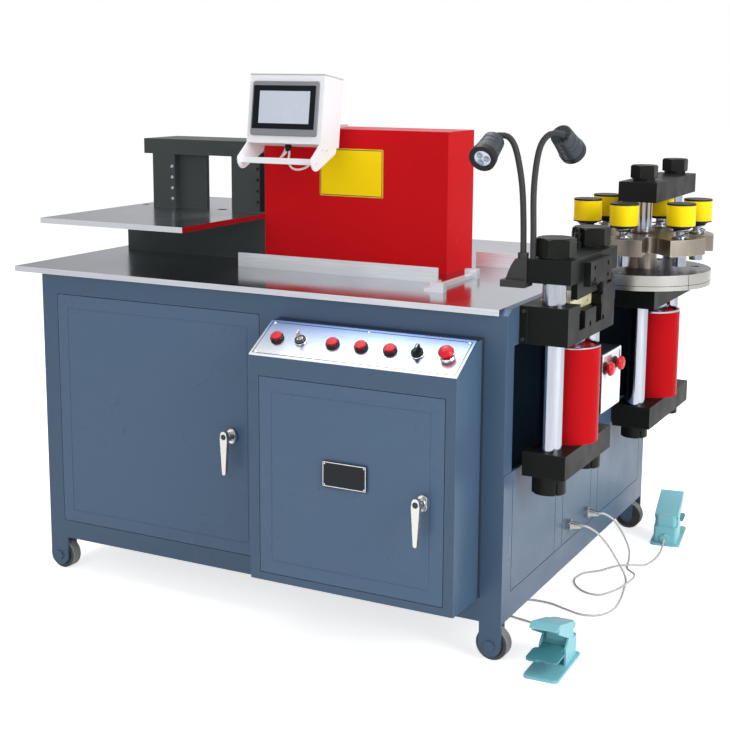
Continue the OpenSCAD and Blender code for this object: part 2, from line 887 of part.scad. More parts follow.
module bend_table() {
    color([0.6, 0.66, 0.74]) place() difference() {
        block(bend_x + 15, bend_x1, bend_table_y, bend_table_y + bend_table_d, bend_base_z,
            bend_table_z);
        rod(pin_x, pin_y, bend_base_z - e, bend_table_z + e, pin_r);
    }
}

bend_cyl_l = cover_l - 142;
bend_piston_x = bend_x1 + 0.31 * cover_l;
piston_l = ram_d / 2;

module bend_cylinder() {
    color([0.2, 0.2, 0.22]) place() difference() {
        union() {
            bar_x(bend_x1, bend_x1 + bend_cyl_l, ram_y, ram_z, bend_cyl_d / 2);
            translate([bend_x1, ram_y - 74, ram_z - 70]) cube([20, 148, 140]);
        }
        bar_x(bend_x1 - e, bend_x1 + 40, ram_y, ram_z, ram_d / 2 + run);
        bar_x(bend_x1 + 30, bend_x1 + bend_cyl_l - 25, ram_y, ram_z, bend_bore / 2);
    }
}

module bend_ram() {
    color([0.75, 0.76, 0.78]) place() {
        bar_x(gap_x1 + 12, bend_piston_x + e, ram_y, ram_z, ram_d / 2);
        bar_x(bend_piston_x, bend_piston_x + piston_l, ram_y, ram_z, bend_bore / 2 - run);
        translate([gap_x1 + 2, ram_y, ram_z]) rotate([0, 90, 0])
            cylinder(r1 = ram_d / 2 - 8, r2 = ram_d / 2, h = 10);
    }
}

module cylinder_cover() {
    color([0.78, 0.08, 0.12]) place() difference() {
        block(bend_x1, bend_x1 + cover_l, bend_y, bend_y1, table_z, table_z + cover_h);
        block(bend_x1 + cover_t, bend_x1 + cover_l - cover_t, bend_y + cover_t,
            bend_y1 - cover_t, table_z - e, table_z + cover_h - cover_t);
        block(bend_x1 - e, bend_x1 + cover_t + e, ram_y - 75, ram_y + 75, ram_z - 72, ram_z + 72);
    }
}

// ---------- operator panel ----------

hmi_bottom_y = 302;
hmi_mid = hmi_x + hmi_w / 2;
hmi_run = hmi_h * sin(hmi_lean);
hmi_pivot = [hmi_mid, bend_y - 22, hmi_top - hmi_h / 2];
lug_r = 12;

// from the head's lower front edge, leaning back
module on_head() {
    translate([hmi_x, hmi_bottom_y, hmi_top - hmi_h * cos(hmi_lean)]) rotate([-hmi_lean, 0, 0])
        children();
}

// an ear's outline: from the head's bottom down and forward to the grab bar
module ear() {
    depth = hmi_d - 12;
    polygon([[0, e], [-2, -2], [-22, -22], [-42, -42], [-44, -50], [-40, -60], [-30, -70],
        [-18, -74], [-6, -72], [depth - 6, -18], [depth, e]]);
}

module hmi_head() {
    color([0.86, 0.86, 0.85]) place() difference() {
        union() {
            on_head() {
                difference() {
                    block(0, hmi_w, 0, hmi_d - 12, 0, hmi_h);
                    block(16, hmi_w - 16, -e, 4, 20, hmi_h - 20);
                }
                for (x = [0, hmi_w - ear_t]) prism_x(x, x + ear_t) ear();
                block(0, hmi_w, -28, -12, -58, -58 + grab_h);
            }
            for (x = [-30, 18]) block(hmi_mid + x, hmi_mid + x + 12, bend_y - 55,
                hmi_pivot[1], hmi_pivot[2] - lug_r, hmi_pivot[2] + lug_r);
            bar_x(hmi_mid - 30, hmi_mid - 18, hmi_pivot[1], hmi_pivot[2], lug_r);
            bar_x(hmi_mid + 18, hmi_mid + 30, hmi_pivot[1], hmi_pivot[2], lug_r);
        }
        bar_x(hmi_mid - 40, hmi_mid + 40, hmi_pivot[1], hmi_pivot[2], 5 + run);
    }
}

module hmi_arm() {
    color([0.8, 0.8, 0.8]) place() {
        block(hmi_mid - 60, hmi_mid + 60, bend_y + 20, bend_y + 120, table_z + cover_h,
            table_z + cover_h + 8);
        block(hmi_mid - 17, hmi_mid + 17, hmi_pivot[1], bend_y + 90, hmi_pivot[2] - lug_r,
            hmi_pivot[2] + lug_r);
        bar_x(hmi_mid - 17, hmi_mid + 17, hmi_pivot[1], hmi_pivot[2], lug_r);
        bar_x(hmi_mid - 34, hmi_mid + 34, hmi_pivot[1], hmi_pivot[2], 5);
        rod(hmi_mid, bend_y + 70, table_z + cover_h, hmi_pivot[2] + lug_r, 20);
    }
}

// ---------- shear unit ----------

module shear_mid_block() {
    color([0.14, 0.14, 0.14]) place() difference() {
        union() {
            block(cab_w, shear_x1 - 3, shear_y, shear_y1, shear_mid_z, table_z);
            block(shear_x - 5, shear_x1 - 3, notch_y + notch_w + 12, shear_y1, table_z - e,
                table_z + step_h);
        }
        for (y = shear_cols) {
            rod(shear_x, y, shear_mid_z - e, table_z + step_h + e, shear_col_d / 2 + run);
        }
        block(shear_x, shear_x1 + e, notch_y, notch_y + notch_w, notch_z, table_z + e);
        for (y = [notch_y - 6, notch_y + notch_w - 38]) {
            block(shear_x1 - 30, shear_x1 + e, y, y + 44, notch_z - slot_h, notch_z + e);
        }
        for (y = [notch_y + 78, notch_y + notch_w + 20]) {
            bar_x(shear_x1 - 12, shear_x1 + e, y, notch_z - slot_h + 5, 7);
        }
    }
}

module shear_lower_blade() {
    color([0.8, 0.78, 0.6]) place() difference() {
        union() {
            block(shear_x, blade_x - run, notch_y, notch_y + notch_w, notch_z, table_z + 4);
            block(shear_x0 + 5, blade_x - run, notch_y, notch_y + notch_w, table_z,
                table_z + 4);
        }
        for (y = [0.2, 0.8]) {
            bar_x(shear_x - e, blade_x + e, notch_y + y * notch_w, notch_z + notch_h / 2, 4);
        }
    }
}

shear_piston_z = shear_low_z1 + 0.32 * shear_cyl_l;

module shear_rod() {
    color([0.85, 0.86, 0.88]) place() {
        rod(shear_x, shear_mid_y, shear_piston_z, shear_mid_z, shear_rod_d / 2);
        rod(shear_x, shear_mid_y, shear_piston_z, shear_piston_z + 40,
            shear_cyl_d / 2 - barrel_t - run);
    }
}

module shear_blocks() {
    color([0.13, 0.14, 0.13]) place() difference() {
        union() {
            block(shear_x0, shear_x1, shear_y, shear_y1, shear_top_z, shear_top_z1);
            block(shear_x1, shear_x1 + keeper_t, keeper_y, keeper_y1, shear_top_z - 14,
                shear_top_z1 - 12);
            block(shear_x0, shear_x1, shear_y, shear_y1, shear_low_z, shear_low_z1);
        }
        for (y = shear_cols) {
            rod(shear_x, y, shear_low_z - e, shear_top_z1 + e, shear_col_d / 2);
        }
        for (y = [0.2, 0.84], z = [0.26, 0.74]) {
            bar_x(shear_x1 + keeper_t - 14, shear_x1 + keeper_t + e,
                keeper_y + y * (keeper_y1 - keeper_y),
                shear_top_z - 14 + z * (shear_top_t + 2), 6);
        }
    }
}

module shear_columns() {
    color([0.85, 0.86, 0.88]) place() for (y = shear_cols) {
        rod(shear_x, y, shear_low_z - 38, shear_top_z1 + shear_nut_h - 10, shear_col_d / 2);
    }
}

// a capped hexagon nut with chamfered corners on a round collar, standing on z0
module hex_nut(x, y, z0, w, h, hole_r, turn, collar) {
    bevel = w * 0.06;
    difference() {
        translate([x, y, z0]) rotate([0, 0, turn]) union() {
            intersection() {
                translate([0, 0, collar]) linear_extrude(h - collar) hexagon(w);
                union() {
                    translate([0, 0, collar]) cylinder(r1 = w * 0.5, r2 = w * 0.6, h = bevel);
                    translate([0, 0, collar + bevel])
                        cylinder(r = w * 0.6, h = h - collar - 2 * bevel);
                    translate([0, 0, h - bevel]) cylinder(r1 = w * 0.6, r2 = w * 0.5, h = bevel);
                }
            }
            cylinder(r = w * 0.46, h = collar + e);
        }
        rod(x, y, z0 - e, z0 + h - 10, hole_r);
    }
}

module round_nut(x, y, z0, z1, r, hole_r) {
    difference() {
        rod(x, y, z0, z1, r);
        rod(x, y, z0 - e, z1 + e, hole_r);
        for (a = [0, 90, 180, 270]) {
            translate([x, y, z0 - e]) rotate([0, 0, a + 45]) translate([r - 4, -4, 0])
                cube([10, 8, z1 - z0 - 10]);
        }
    }
}

module shear_nuts() {
    color([0.12, 0.12, 0.12]) place() for (y = shear_cols) {
        hex_nut(shear_x, y, shear_top_z1, shear_nut_w, shear_nut_h, shear_col_d / 2, 30, 3);
        round_nut(shear_x, y, shear_low_z - 44, shear_low_z, 42, shear_col_d / 2);
    }
}

// a barrel on a bottom block: chamber, gland bore and a piston inside
module barrel(x, y, z0, z1, d, rod_d) {
    difference() {
        rod(x, y, z0, z1, d / 2);
        rod(x, y, z0 + barrel_t + 4, z1 - barrel_t - 6, d / 2 - barrel_t);
        rod(x, y, z1 - barrel_t - 7, z1 + e, rod_d / 2 + run);
    }
}

module shear_cylinder() {
    color([0.8, 0.07, 0.1]) place()
        barrel(shear_x, shear_mid_y, shear_low_z1, shear_cyl_z1, shear_cyl_d, shear_rod_d);
}

module shear_upper_blade() {
    color([0.85, 0.83, 0.65]) place() translate([blade_x, 0, 0]) rotate([90, 0, 90])
        linear_extrude(blade_t) polygon([[notch_y + 3, shear_top_z],
            [notch_y + 3, table_z + blade_up], [notch_y + notch_w - 3, table_z + blade_up + 4],
            [notch_y + notch_w - 3, shear_top_z]]);
}

// ---------- punching unit ----------

module punch_mid_block() {
    color([0.15, 0.16, 0.15]) place() difference() {
        block(cab_w, punch_x1, punch_y, punch_y1, punch_mid_z, punch_mid_z1);
        for (y = punch_cols) {
            rod(punch_x, y, punch_mid_z - e, punch_mid_z1 + e, punch_col_d / 2 + run);
        }
    }
}

punch_piston_z = punch_low_z1 + 0.55 * punch_cyl_l;

module punch_rod() {
    color([0.85, 0.86, 0.88]) place() {
        rod(punch_x, punch_cyl_y, punch_piston_z, punch_mid_z, punch_rod_d / 2);
        rod(punch_x, punch_cyl_y, punch_piston_z, punch_piston_z + 40,
            punch_cyl_d / 2 - barrel_t - run);
    }
}

module punch_blocks() {
    color([0.13, 0.14, 0.13]) place() difference() {
        union() {
            block(punch_x0, punch_x1, turret_y - punch_top_in, punch_y1, punch_top_z,
                punch_top_z1);
            block(punch_x0, punch_x1, punch_y, punch_y1 + punch_low_over, punch_low_z,
                punch_low_z1);
        }
        for (y = punch_cols) {
            rod(punch_x, y, punch_low_z - e, punch_top_z1 + e, punch_col_d / 2);
        }
    }
}

module punch_columns() {
    color([0.85, 0.86, 0.88]) place() for (y = punch_cols) {
        rod(punch_x, y, punch_low_z - 26, punch_top_z1 + punch_nut_h - 10, punch_col_d / 2);
    }
}

module punch_nuts() {
    color([0.12, 0.12, 0.12]) place() for (y = punch_cols) {
        hex_nut(punch_x, y, punch_top_z1, punch_nut_w, punch_nut_h, punch_col_d / 2,
            30, 7);
        round_nut(punch_x, y, punch_low_z - 32, punch_low_z, 38, punch_col_d / 2);
    }
}

module punch_cylinder() {
    color([0.8, 0.07, 0.1]) place()
        barrel(punch_x, punch_cyl_y, punch_low_z1, punch_cyl_z1, punch_cyl_d, punch_rod_d);
}

// ---------- turret ----------

// moves to the turret's axis and turns to station k, counted from the work station
module station(k) {
    translate([punch_x, turret_y, 0]) rotate([0, 0, work_a + 60 * k])
        translate([station_r, 0, 0]) children();
}

valley_at = station_r - 30;

module star() {
    difference() {
        circle(r = star_r);
        for (k = [0 : 5]) rotate(work_a - 30 + 60 * k) {
            translate([valley_at, 0]) circle(r = valley_r);
            polygon([[valley_at, -valley_r], [star_r + 10, -valley_r - 29],
                [star_r + 10, valley_r + 29], [valley_at, valley_r]]);
        }
    }
}

module turret_plate() {
    color([0.8, 0.8, 0.8]) place() difference() {
        union() {
            translate([punch_x, turret_y, star_z]) linear_extrude(star_t) star();
            rod(punch_x, turret_y, table_z, star_z + e, hub_r + 16);
            rod(punch_x, turret_y, star_z1 - e, star_z1 + 3, hub_r + 10);
            for (k = [0 : 5]) station(k) translate([0, 0, star_z - guide_l])
                cylinder(d = guide_d, h = guide_l + e);
        }
        rod(punch_x, turret_y, table_z - e, star_z1 + 20, hub_r);
        for (k = [0 : 5]) station(k) translate([0, 0, star_z - guide_l - e])
            cylinder(r = punch_stem_d / 2 + run, h = guide_l + star_t + 2 * e);
    }
}

module die_disc() {
    color([0.8, 0.8, 0.8]) place() difference() {
        rod(punch_x, turret_y, punch_mid_z1 + run, table_z, die_r);
        rod(punch_x, turret_y, punch_mid_z1, table_z + e, hub_r);
        for (k = [0 : 5]) station(k) translate([0, 0, punch_mid_z1])
            cylinder(r = punch_stem_d / 2 + 0.4, h = table_z - punch_mid_z1 + e);
    }
}

// one capped punch at station k
module punch(k) {
    station(k) {
        translate([0, 0, cap_z]) cylinder(d = punch_cap_d, h = punch_cap_h);
        translate([0, 0, stem_z]) cylinder(d = punch_stem_d, h = cap_z + e - stem_z);
    }
}

module work_punch() {
    color([0.93, 0.83, 0.05]) place() punch(0);
}

module idle_punches() {
    color([0.93, 0.83, 0.05]) place() for (k = [1 : 5]) punch(k);
}

module work_spring() {
    color([0.5, 0.5, 0.52]) place() station(0) spring(star_z1, cap_z, 3);
}

module idle_springs() {
    color([0.5, 0.5, 0.52]) place() for (k = [1 : 5]) station(k) spring(star_z1, cap_z, 3);
}

// ---------- side control box ----------

side_buttons = [0.155 * side_l, 0.702 * side_l];
side_button_up = side_h - 39;

module on_side(s) {
    translate([cab_w + side_d, side_y + s, side_z + side_button_up]) rotate([0, 90, 0])
        children();
}

module side_box() {
    color([0.72, 0.74, 0.76]) place() difference() {
        union() {
            block(cab_w + 4, cab_w + side_d, side_y, side_y + side_l, side_z, side_z + side_h);
            block(cab_w, cab_w + 4, side_y + 40, side_y + side_l - 40, window_z - 60,
                side_z + side_h);
        }
        block(cab_w + 7, cab_w + side_d - 3, side_y + 3, side_y + side_l - 3, side_z + 3,
            side_z + side_h - 3);
        for (s = side_buttons) on_side(s) translate([0, 0, -10])
            cylinder(d = stem_d + 2 * run, h = 20);
    }
}

module side_button_1() {
    color([0.8, 0.1, 0.12]) place() on_side(side_buttons[0]) mushroom(16);
}

module side_button_2() {
    color([0.8, 0.1, 0.12]) place() on_side(side_buttons[1]) mushroom(16);
}

// ---------- lamps ----------

lamp_z = shear_top_z1 + 13;
lamp_y = shear_y + 8;
neck_1_foot = [shear_x0 - 13, lamp_y];
neck_2_foot = [shear_x0 + 12, lamp_y];
lamp_1 = [shear_x0 - 81, lamp_y - 22, lamp_z + 270];
lamp_2 = [shear_x0 + 67, lamp_y + 30, lamp_z + 272];
lamp_1_dir = [0.05, -0.95, -0.3];
lamp_2_dir = [-0.18, 0.8, -0.57];

// a gooseneck's middle line: offsets along X and up from its foot, then straight into the head
function neck(foot, shape, head, dir) = concat(
    curve(concat([for (q = shape) [foot.x + q[0], foot.y + q[1], q[2] + lamp_z]],
        [head - 14 * unit(dir)]), 3),
    [head - 6 * unit(dir), head]);

neck_1 = neck(neck_1_foot, [[0, 0, -13], [-1, 0, 56], [-5, 0, 136], [-13, 0, 194],
    [-27, 0, 248], [-46, 0, 272]], lamp_1, lamp_1_dir);
neck_2 = neck(neck_2_foot, [[0, 0, -13], [-1, 0, 56], [-3, 0, 136], [1, 0, 202],
    [11, 2, 254], [31, 8, 280]], lamp_2, lamp_2_dir);

module lamp_stand() {
    color([0.12, 0.12, 0.13]) place() {
        block(shear_x0 - 62, shear_x0, shear_y - 15, shear_y + 40, shear_top_z - 12,
            shear_top_z + 5);
        translate([0, shear_y + 24, 0]) rotate([90, 0, 0]) linear_extrude(30) polygon([
            [shear_x0, shear_top_z + 4], [shear_x0 - 52, shear_top_z + 4],
            [shear_x0 - 46, shear_top_z + 22], [shear_x0 - 38, shear_top_z + 40],
            [shear_x0 - 28, shear_top_z1 - 1], [shear_x0, shear_top_z1 - 1]]);
        rod(neck_1_foot.x, lamp_y, shear_top_z1 - 2, lamp_z, 13);
        sweep(neck_1, lamp_neck_d / 2, 12);
        sweep(neck_2, lamp_neck_d / 2, 12);
    }
}

// a lamp head from its neck end, along direction d
module lamp_head(at, d) {
    u = unit(d);
    translate(at) rotate([0, acos(u.z), atan2(u.y, u.x)]) difference() {
        union() {
            cylinder(r1 = lamp_d * 0.3, r2 = lamp_d * 0.44, h = 12);
            translate([0, 0, 12]) cylinder(r = lamp_d * 0.44, h = lamp_l - 40);
            translate([0, 0, lamp_l - 30]) cylinder(r = lamp_d / 2, h = 30);
        }
        translate([0, 0, lamp_l - 5]) cylinder(r = lamp_d * 0.34, h = 6);
    }
}

module lamp_heads() {
    color([0.15, 0.16, 0.18]) place() {
        lamp_head(lamp_1, lamp_1_dir);
        lamp_head(lamp_2, lamp_2_dir);
    }
}

// ---------- pedals ----------

module at_pedal(at, yaw) {
    translate([at[0], at[1], 0]) rotate([0, 0, yaw]) children();
}

house_w = pedal_w - 18;
treadle_y = pedal_house_l + 12;
cheek_t = 5;

module pedal_base() {
    linear_extrude(pedal_t) rounded(pedal_w, pedal_l, foot_r);
    difference() {
        union() {
            translate([9, 6, pedal_t - e]) linear_extrude(pedal_house_h - pedal_t + e)
                rounded(house_w, pedal_house_l, cast_r);
            translate([14, 14, pedal_t]) linear_extrude(86)
                rounded(house_w - 10, pedal_house_l - 14, cast_r);
        }
        translate([9 + cheek_t, pedal_house_l - 8, pedal_t]) cube([house_w - 2 * cheek_t, 30, 52]);
    }
    translate([9, 0, 0]) rotate([90, 0, 90]) linear_extrude(house_w) polygon([
        [20, 90], [40, 100], [pedal_l - 40, hood_h], [pedal_l - 16, hood_h - 6],
        [pedal_l - 16, hood_h - 6 - hood_t], [pedal_l - 40, hood_h - hood_t],
        [42, 100 - hood_t - 4], [30, 80]]);
    for (x = [9, 9 + house_w - cheek_t]) {
        translate([x, 0, 0]) rotate([90, 0, 90]) linear_extrude(cheek_t) polygon([
            [pedal_house_l - 10, pedal_t - e], [treadle_y + 14, pedal_t - e],
            [treadle_y + 14, treadle_z + 8], [pedal_house_l + 4, 70], [pedal_l - 34, hood_h - 22],
            [pedal_l - 34, hood_h - 2], [40, 99], [40, 60]]);
    }
    translate([9, treadle_y, treadle_z]) rotate([0, 90, 0]) cylinder(r = 3, h = house_w);
    translate([pedal_w / 2, 7, 24]) rotate([90, 0, 0]) cylinder(r = 13, h = 12);
}

module treadle() {
    w = house_w - 2 * cheek_t - 2;
    difference() {
        union() {
            translate([pedal_w / 2 - w / 2, treadle_y, treadle_z]) rotate([0, 90, 0])
                cylinder(r = 7, h = w);
            translate([pedal_w / 2 - w / 2, treadle_y - 3, treadle_z + 1])
                cube([w, pedal_l - treadle_y - 25, 6]);
            translate([4, pedal_l - 75, treadle_z + 1]) linear_extrude(6)
                rounded(pedal_w - 8, 72, foot_r);
        }
        translate([0, treadle_y, treadle_z]) rotate([0, 90, 0])
            cylinder(r = 3 + run, h = pedal_w);
        translate([pedal_w / 2, pedal_l + 4, treadle_z - e]) cylinder(r = 14, h = 20);
    }
}

module pedal_front() {
    color([0.45, 0.76, 0.8]) place() at_pedal(pedal_front_at, pedal_front_yaw) pedal_base();
}

module treadle_front() {
    color([0.45, 0.76, 0.82]) place() at_pedal(pedal_front_at, pedal_front_yaw) treadle();
}

module pedal_rear() {
    color([0.45, 0.76, 0.8]) place() at_pedal(pedal_rear_at, pedal_rear_yaw) pedal_base();
}

module treadle_rear() {
    color([0.45, 0.76, 0.82]) place() at_pedal(pedal_rear_at, pedal_rear_yaw) treadle();
}

// ---------- pedal cables ----------

// the cable's end at a pedal, 5 mm outside the housing
function pedal_exit(at, yaw, out) = [
    at[0] + pedal_w / 2 * cos(yaw) + (5 + out) * sin(yaw),
    at[1] + pedal_w / 2 * sin(yaw) - (5 + out) * cos(yaw), 24];

// points given from the cabinet's right face
function beside(points) = [for (q = points) [cab_w + q[0], q[1], q[2]]];

front_route = concat(beside([[gland_l, glands[0][0], glands[0][1]],
    [52, 478, 216], [62, 545, 178], [70, 625, 118], [78, 690, 54], [90, 712, 16],
    [108, 680, 4], [124, 610, 4], [138, 530, 4], [142, 460, 4], [122, 404, 4], [80, 384, 4],
    [30, 398, 4], [-24, 418, 4], [-80, 416, 4], [-138, 386, 4], [-150, 330, 4],
    [-100, 290, 4], [-28, 272, 4], [46, 254, 4], [96, 230, 6], [112, 196, 14]]),
    [pedal_exit(pedal_front_at, pedal_front_yaw, 14),
        pedal_exit(pedal_front_at, pedal_front_yaw, 0)]);

rear_route = concat(beside([[gland_l, glands[1][0], glands[1][1]],
    [52, 634, 206], [58, 715, 162], [62, 800, 92], [62, 858, 30], [68, 840, 8],
    [84, 770, 6], [122, 715, 12], [128, 650, 16], [112, 584, 12], [78, 540, 5],
    [36, 540, 4], [-4, 574, 4], [-24, 622, 4], [-16, 678, 4], [20, 716, 6],
    [62, 746, 18], [98, 778, 16], [122, 824, 6], [132, 886, 4], [132, 950, 8]]),
    [pedal_exit(pedal_rear_at, pedal_rear_yaw, 14),
        pedal_exit(pedal_rear_at, pedal_rear_yaw, 0)]);

module cable_front() {
    color([0.85, 0.85, 0.85]) place() sweep(curve(front_route, 2), cable_d / 2, 8);
}

module cable_rear() {
    color([0.85, 0.85, 0.85]) place() sweep(curve(rear_route, 2), cable_d / 2, 8);
}

cabinet_shell();
work_table();
electrical_box();
console_plate();
cable_glands();
left_door();
left_door_handle();
box_door();
box_door_handle();
bend_frame();
bend_table();
bend_cylinder();
bend_ram();
cylinder_cover();
fence_rails();
stop_bar();
shear_mid_block();
shear_lower_blade();
shear_rod();
shear_blocks();
shear_columns();
shear_nuts();
shear_cylinder();
shear_upper_blade();
punch_mid_block();
punch_rod();
punch_blocks();
punch_columns();
punch_nuts();
punch_cylinder();
turret_plate();
die_disc();
work_punch();
idle_punches();
work_spring();
idle_springs();
power_switch();
button_1();
button_2();
button_3();
key_switch();
selector();
emergency_stop();
side_box();
side_button_1();
side_button_2();
hmi_head();
hmi_arm();
lamp_stand();
lamp_heads();
wheel_front_left();
wheel_front_right();
wheel_rear_left();
wheel_rear_right();
pedal_front();
treadle_front();
pedal_rear();
treadle_rear();
cable_front();
cable_rear();
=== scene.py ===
"""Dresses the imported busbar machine: camera, light, pedal cables, materials and the small pieces.

The scene is in metres in the row frame. Pieces are built in machine millimetres, from the
cabinet's left front corner on the floor: X along the table, Y to the back, Z up. piece() and
tube() bring them into the row frame.
"""

import math

import bmesh
import bpy
from mathutils import Matrix, Vector


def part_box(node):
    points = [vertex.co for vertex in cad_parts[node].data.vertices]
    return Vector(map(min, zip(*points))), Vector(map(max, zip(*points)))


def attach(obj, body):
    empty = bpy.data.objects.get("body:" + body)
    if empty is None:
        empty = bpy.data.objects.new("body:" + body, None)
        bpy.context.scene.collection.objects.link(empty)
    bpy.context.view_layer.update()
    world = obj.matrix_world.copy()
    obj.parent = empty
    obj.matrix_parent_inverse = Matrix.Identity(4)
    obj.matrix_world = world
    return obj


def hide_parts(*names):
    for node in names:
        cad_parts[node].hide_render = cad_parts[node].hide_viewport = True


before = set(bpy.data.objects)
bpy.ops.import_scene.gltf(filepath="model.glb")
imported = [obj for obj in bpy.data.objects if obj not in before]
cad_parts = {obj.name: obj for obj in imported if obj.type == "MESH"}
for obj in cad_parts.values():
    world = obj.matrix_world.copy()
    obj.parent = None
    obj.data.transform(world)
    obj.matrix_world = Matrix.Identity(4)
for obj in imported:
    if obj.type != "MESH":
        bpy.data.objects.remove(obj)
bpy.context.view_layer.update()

MM = 0.001
TABLE_OVERHANG = Vector((90, 10, 0)) * MM  # of the work table's left front corner past the cabinet
table_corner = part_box("work_table")[0]
CORNER = Vector((table_corner.x, table_corner.y, 0)) + TABLE_OVERHANG
TO_ROW = Matrix.Translation(CORNER) @ Matrix.Scale(MM, 4)
TO_MACHINE = TO_ROW.inverted()


def machine(x, y, z):
    """The row-frame point of machine coordinates in millimetres."""
    return TO_ROW @ Vector((x, y, z))


def span(node):
    """A CAD node's lowest and highest corners in machine millimetres."""
    lowest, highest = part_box(node)
    return TO_MACHINE @ lowest, TO_MACHINE @ highest


def new_object(name, data):
    """An object in the scene."""
    made = bpy.data.objects.new(name, data)
    bpy.context.scene.collection.objects.link(made)
    return made


# ---------- shader nodes ----------

WHITE = (1, 1, 1, 1)


def feed(tree, node, inputs):
    """Gives each named input of a node a value, or a link from the socket given."""
    for key, value in inputs.items():
        if isinstance(value, bpy.types.NodeSocket):
            tree.links.new(value, node.inputs[key])
        else:
            node.inputs[key].default_value = value


def add_node(tree, kind, inputs, **settings):
    """A new shader node with its settings and inputs."""
    made = tree.nodes.new(kind)
    for key, value in settings.items():
        setattr(made, key, value)
    feed(tree, made, inputs)
    return made


def mixed(tree, factor, under, over, **settings):
    """A socket with one colour over another."""
    return add_node(tree, "ShaderNodeMix", {"Factor": factor, "A": under, "B": over},
                    data_type="RGBA", **settings).outputs["Result"]


def ranged(tree, value, start, end, first=0.0, last=1.0):
    """A socket that goes from first to last while a value goes from start to end."""
    return add_node(tree, "ShaderNodeMapRange", {
        "Value": value, "From Min": start, "From Max": end, "To Min": first,
        "To Max": last}).outputs["Result"]


def ray_is(tree, *kinds):
    """A socket that is 1 for rays of any of the kinds, and 0 otherwise."""
    ray = add_node(tree, "ShaderNodeLightPath", {}).outputs
    result = ray[kinds[0]]
    for kind in kinds[1:]:
        result = add_node(tree, "ShaderNodeMath", {0: result, 1: ray[kind]},
                          operation="MAXIMUM").outputs[0]
    return result


# ---------- camera, floor and light ----------

CAMERA_AT = machine(2567.1, -2949.6, 1436.5)
CAMERA_YAW = math.radians(27.64)  # to the left of +Y
CAMERA_PITCH = math.radians(10.03)  # down
CAMERA_ROLL = math.radians(-0.29)
CAMERA_LENS = 67.66
CAMERA_SHIFT = -0.0753425  # of the picture's width


def make_camera():
    """The photograph's viewpoint."""
    forward = Vector((
        -math.sin(CAMERA_YAW) * math.cos(CAMERA_PITCH),
        math.cos(CAMERA_YAW) * math.cos(CAMERA_PITCH),
        -math.sin(CAMERA_PITCH),
    ))
    right = Vector((math.cos(CAMERA_YAW), math.sin(CAMERA_YAW), 0))
    down = forward.cross(right)
    rolled_right = right * math.cos(CAMERA_ROLL) + down * math.sin(CAMERA_ROLL)
    rolled_down = down * math.cos(CAMERA_ROLL) - right * math.sin(CAMERA_ROLL)
    data = bpy.data.cameras.new("camera")
    data.lens = CAMERA_LENS
    data.shift_y = CAMERA_SHIFT
    camera = new_object("camera", data)
    turn = Matrix((rolled_right, -rolled_down, -forward)).transposed()
    camera.matrix_world = Matrix.Translation(CAMERA_AT) @ turn.to_4x4()
    bpy.context.scene.camera = camera


FLOOR_HALF = 30.0
FLOOR_DROP = 0.0005  # so that it doesn't meet the wheels' and pedals' undersides
FLOOR_COLOUR = (0.8, 0.8, 0.8, 1)
FLOOR_LIFT = 0.7  # white added to the floor where it is seen, so that it ends as the backdrop does


def make_floor():
    """A plain white floor that shows as background where no shadow falls."""
    mesh = bpy.data.meshes.new("floor")
    corners = [(sx * FLOOR_HALF, sy * FLOOR_HALF, 0)
               for sx, sy in ((-1, -1), (1, -1), (1, 1), (-1, 1))]
    mesh.from_pydata(corners, [], [(0, 1, 2, 3)])
    floor = new_object("floor", mesh)
    floor.location.z = -FLOOR_DROP
    material = bpy.data.materials.new("floor_white")
    material.use_nodes = True
    tree = material.node_tree
    seen = ray_is(tree, "Is Camera Ray", "Is Glossy Ray", "Is Transmission Ray")
    lift = add_node(tree, "ShaderNodeMath", {0: seen, 1: FLOOR_LIFT}, operation="MULTIPLY")
    feed(tree, tree.nodes["Principled BSDF"], {
        "Base Color": FLOOR_COLOUR, "Roughness": 0.9, "Specular IOR Level": 0.0,
        "Emission Color": WHITE, "Emission Strength": lift.outputs[0]})
    mesh.materials.append(material)


AMBIENT = 0.42
SOFT_BOXES = (
    # name, machine position, size, power, aims at
    ("key_right", (5200, -700, 2500), 3.0, 164, (1100, 500, 700)),
    ("fill_front", (600, -4800, 2600), 3.4, 66, (600, 300, 600)),
    ("top", (700, 700, 4200), 3.4, 58, (700, 500, 600)),
    ("rim_back", (-900, 2600, 4600), 2.0, 36, (700, 500, 900)),
)
# the white studio as metal mirrors it: paler to the back right, and white overhead
BRIGHT_SIDE = (0.6, 0.8, 0.0)
SIDE_LEVELS = ((0.0, 0.3), (0.55, 0.36), (0.78, 0.78), (0.95, 1.0))
SIDE_BLUE = 1.03
OVERHEAD = (0.25, 0.65)


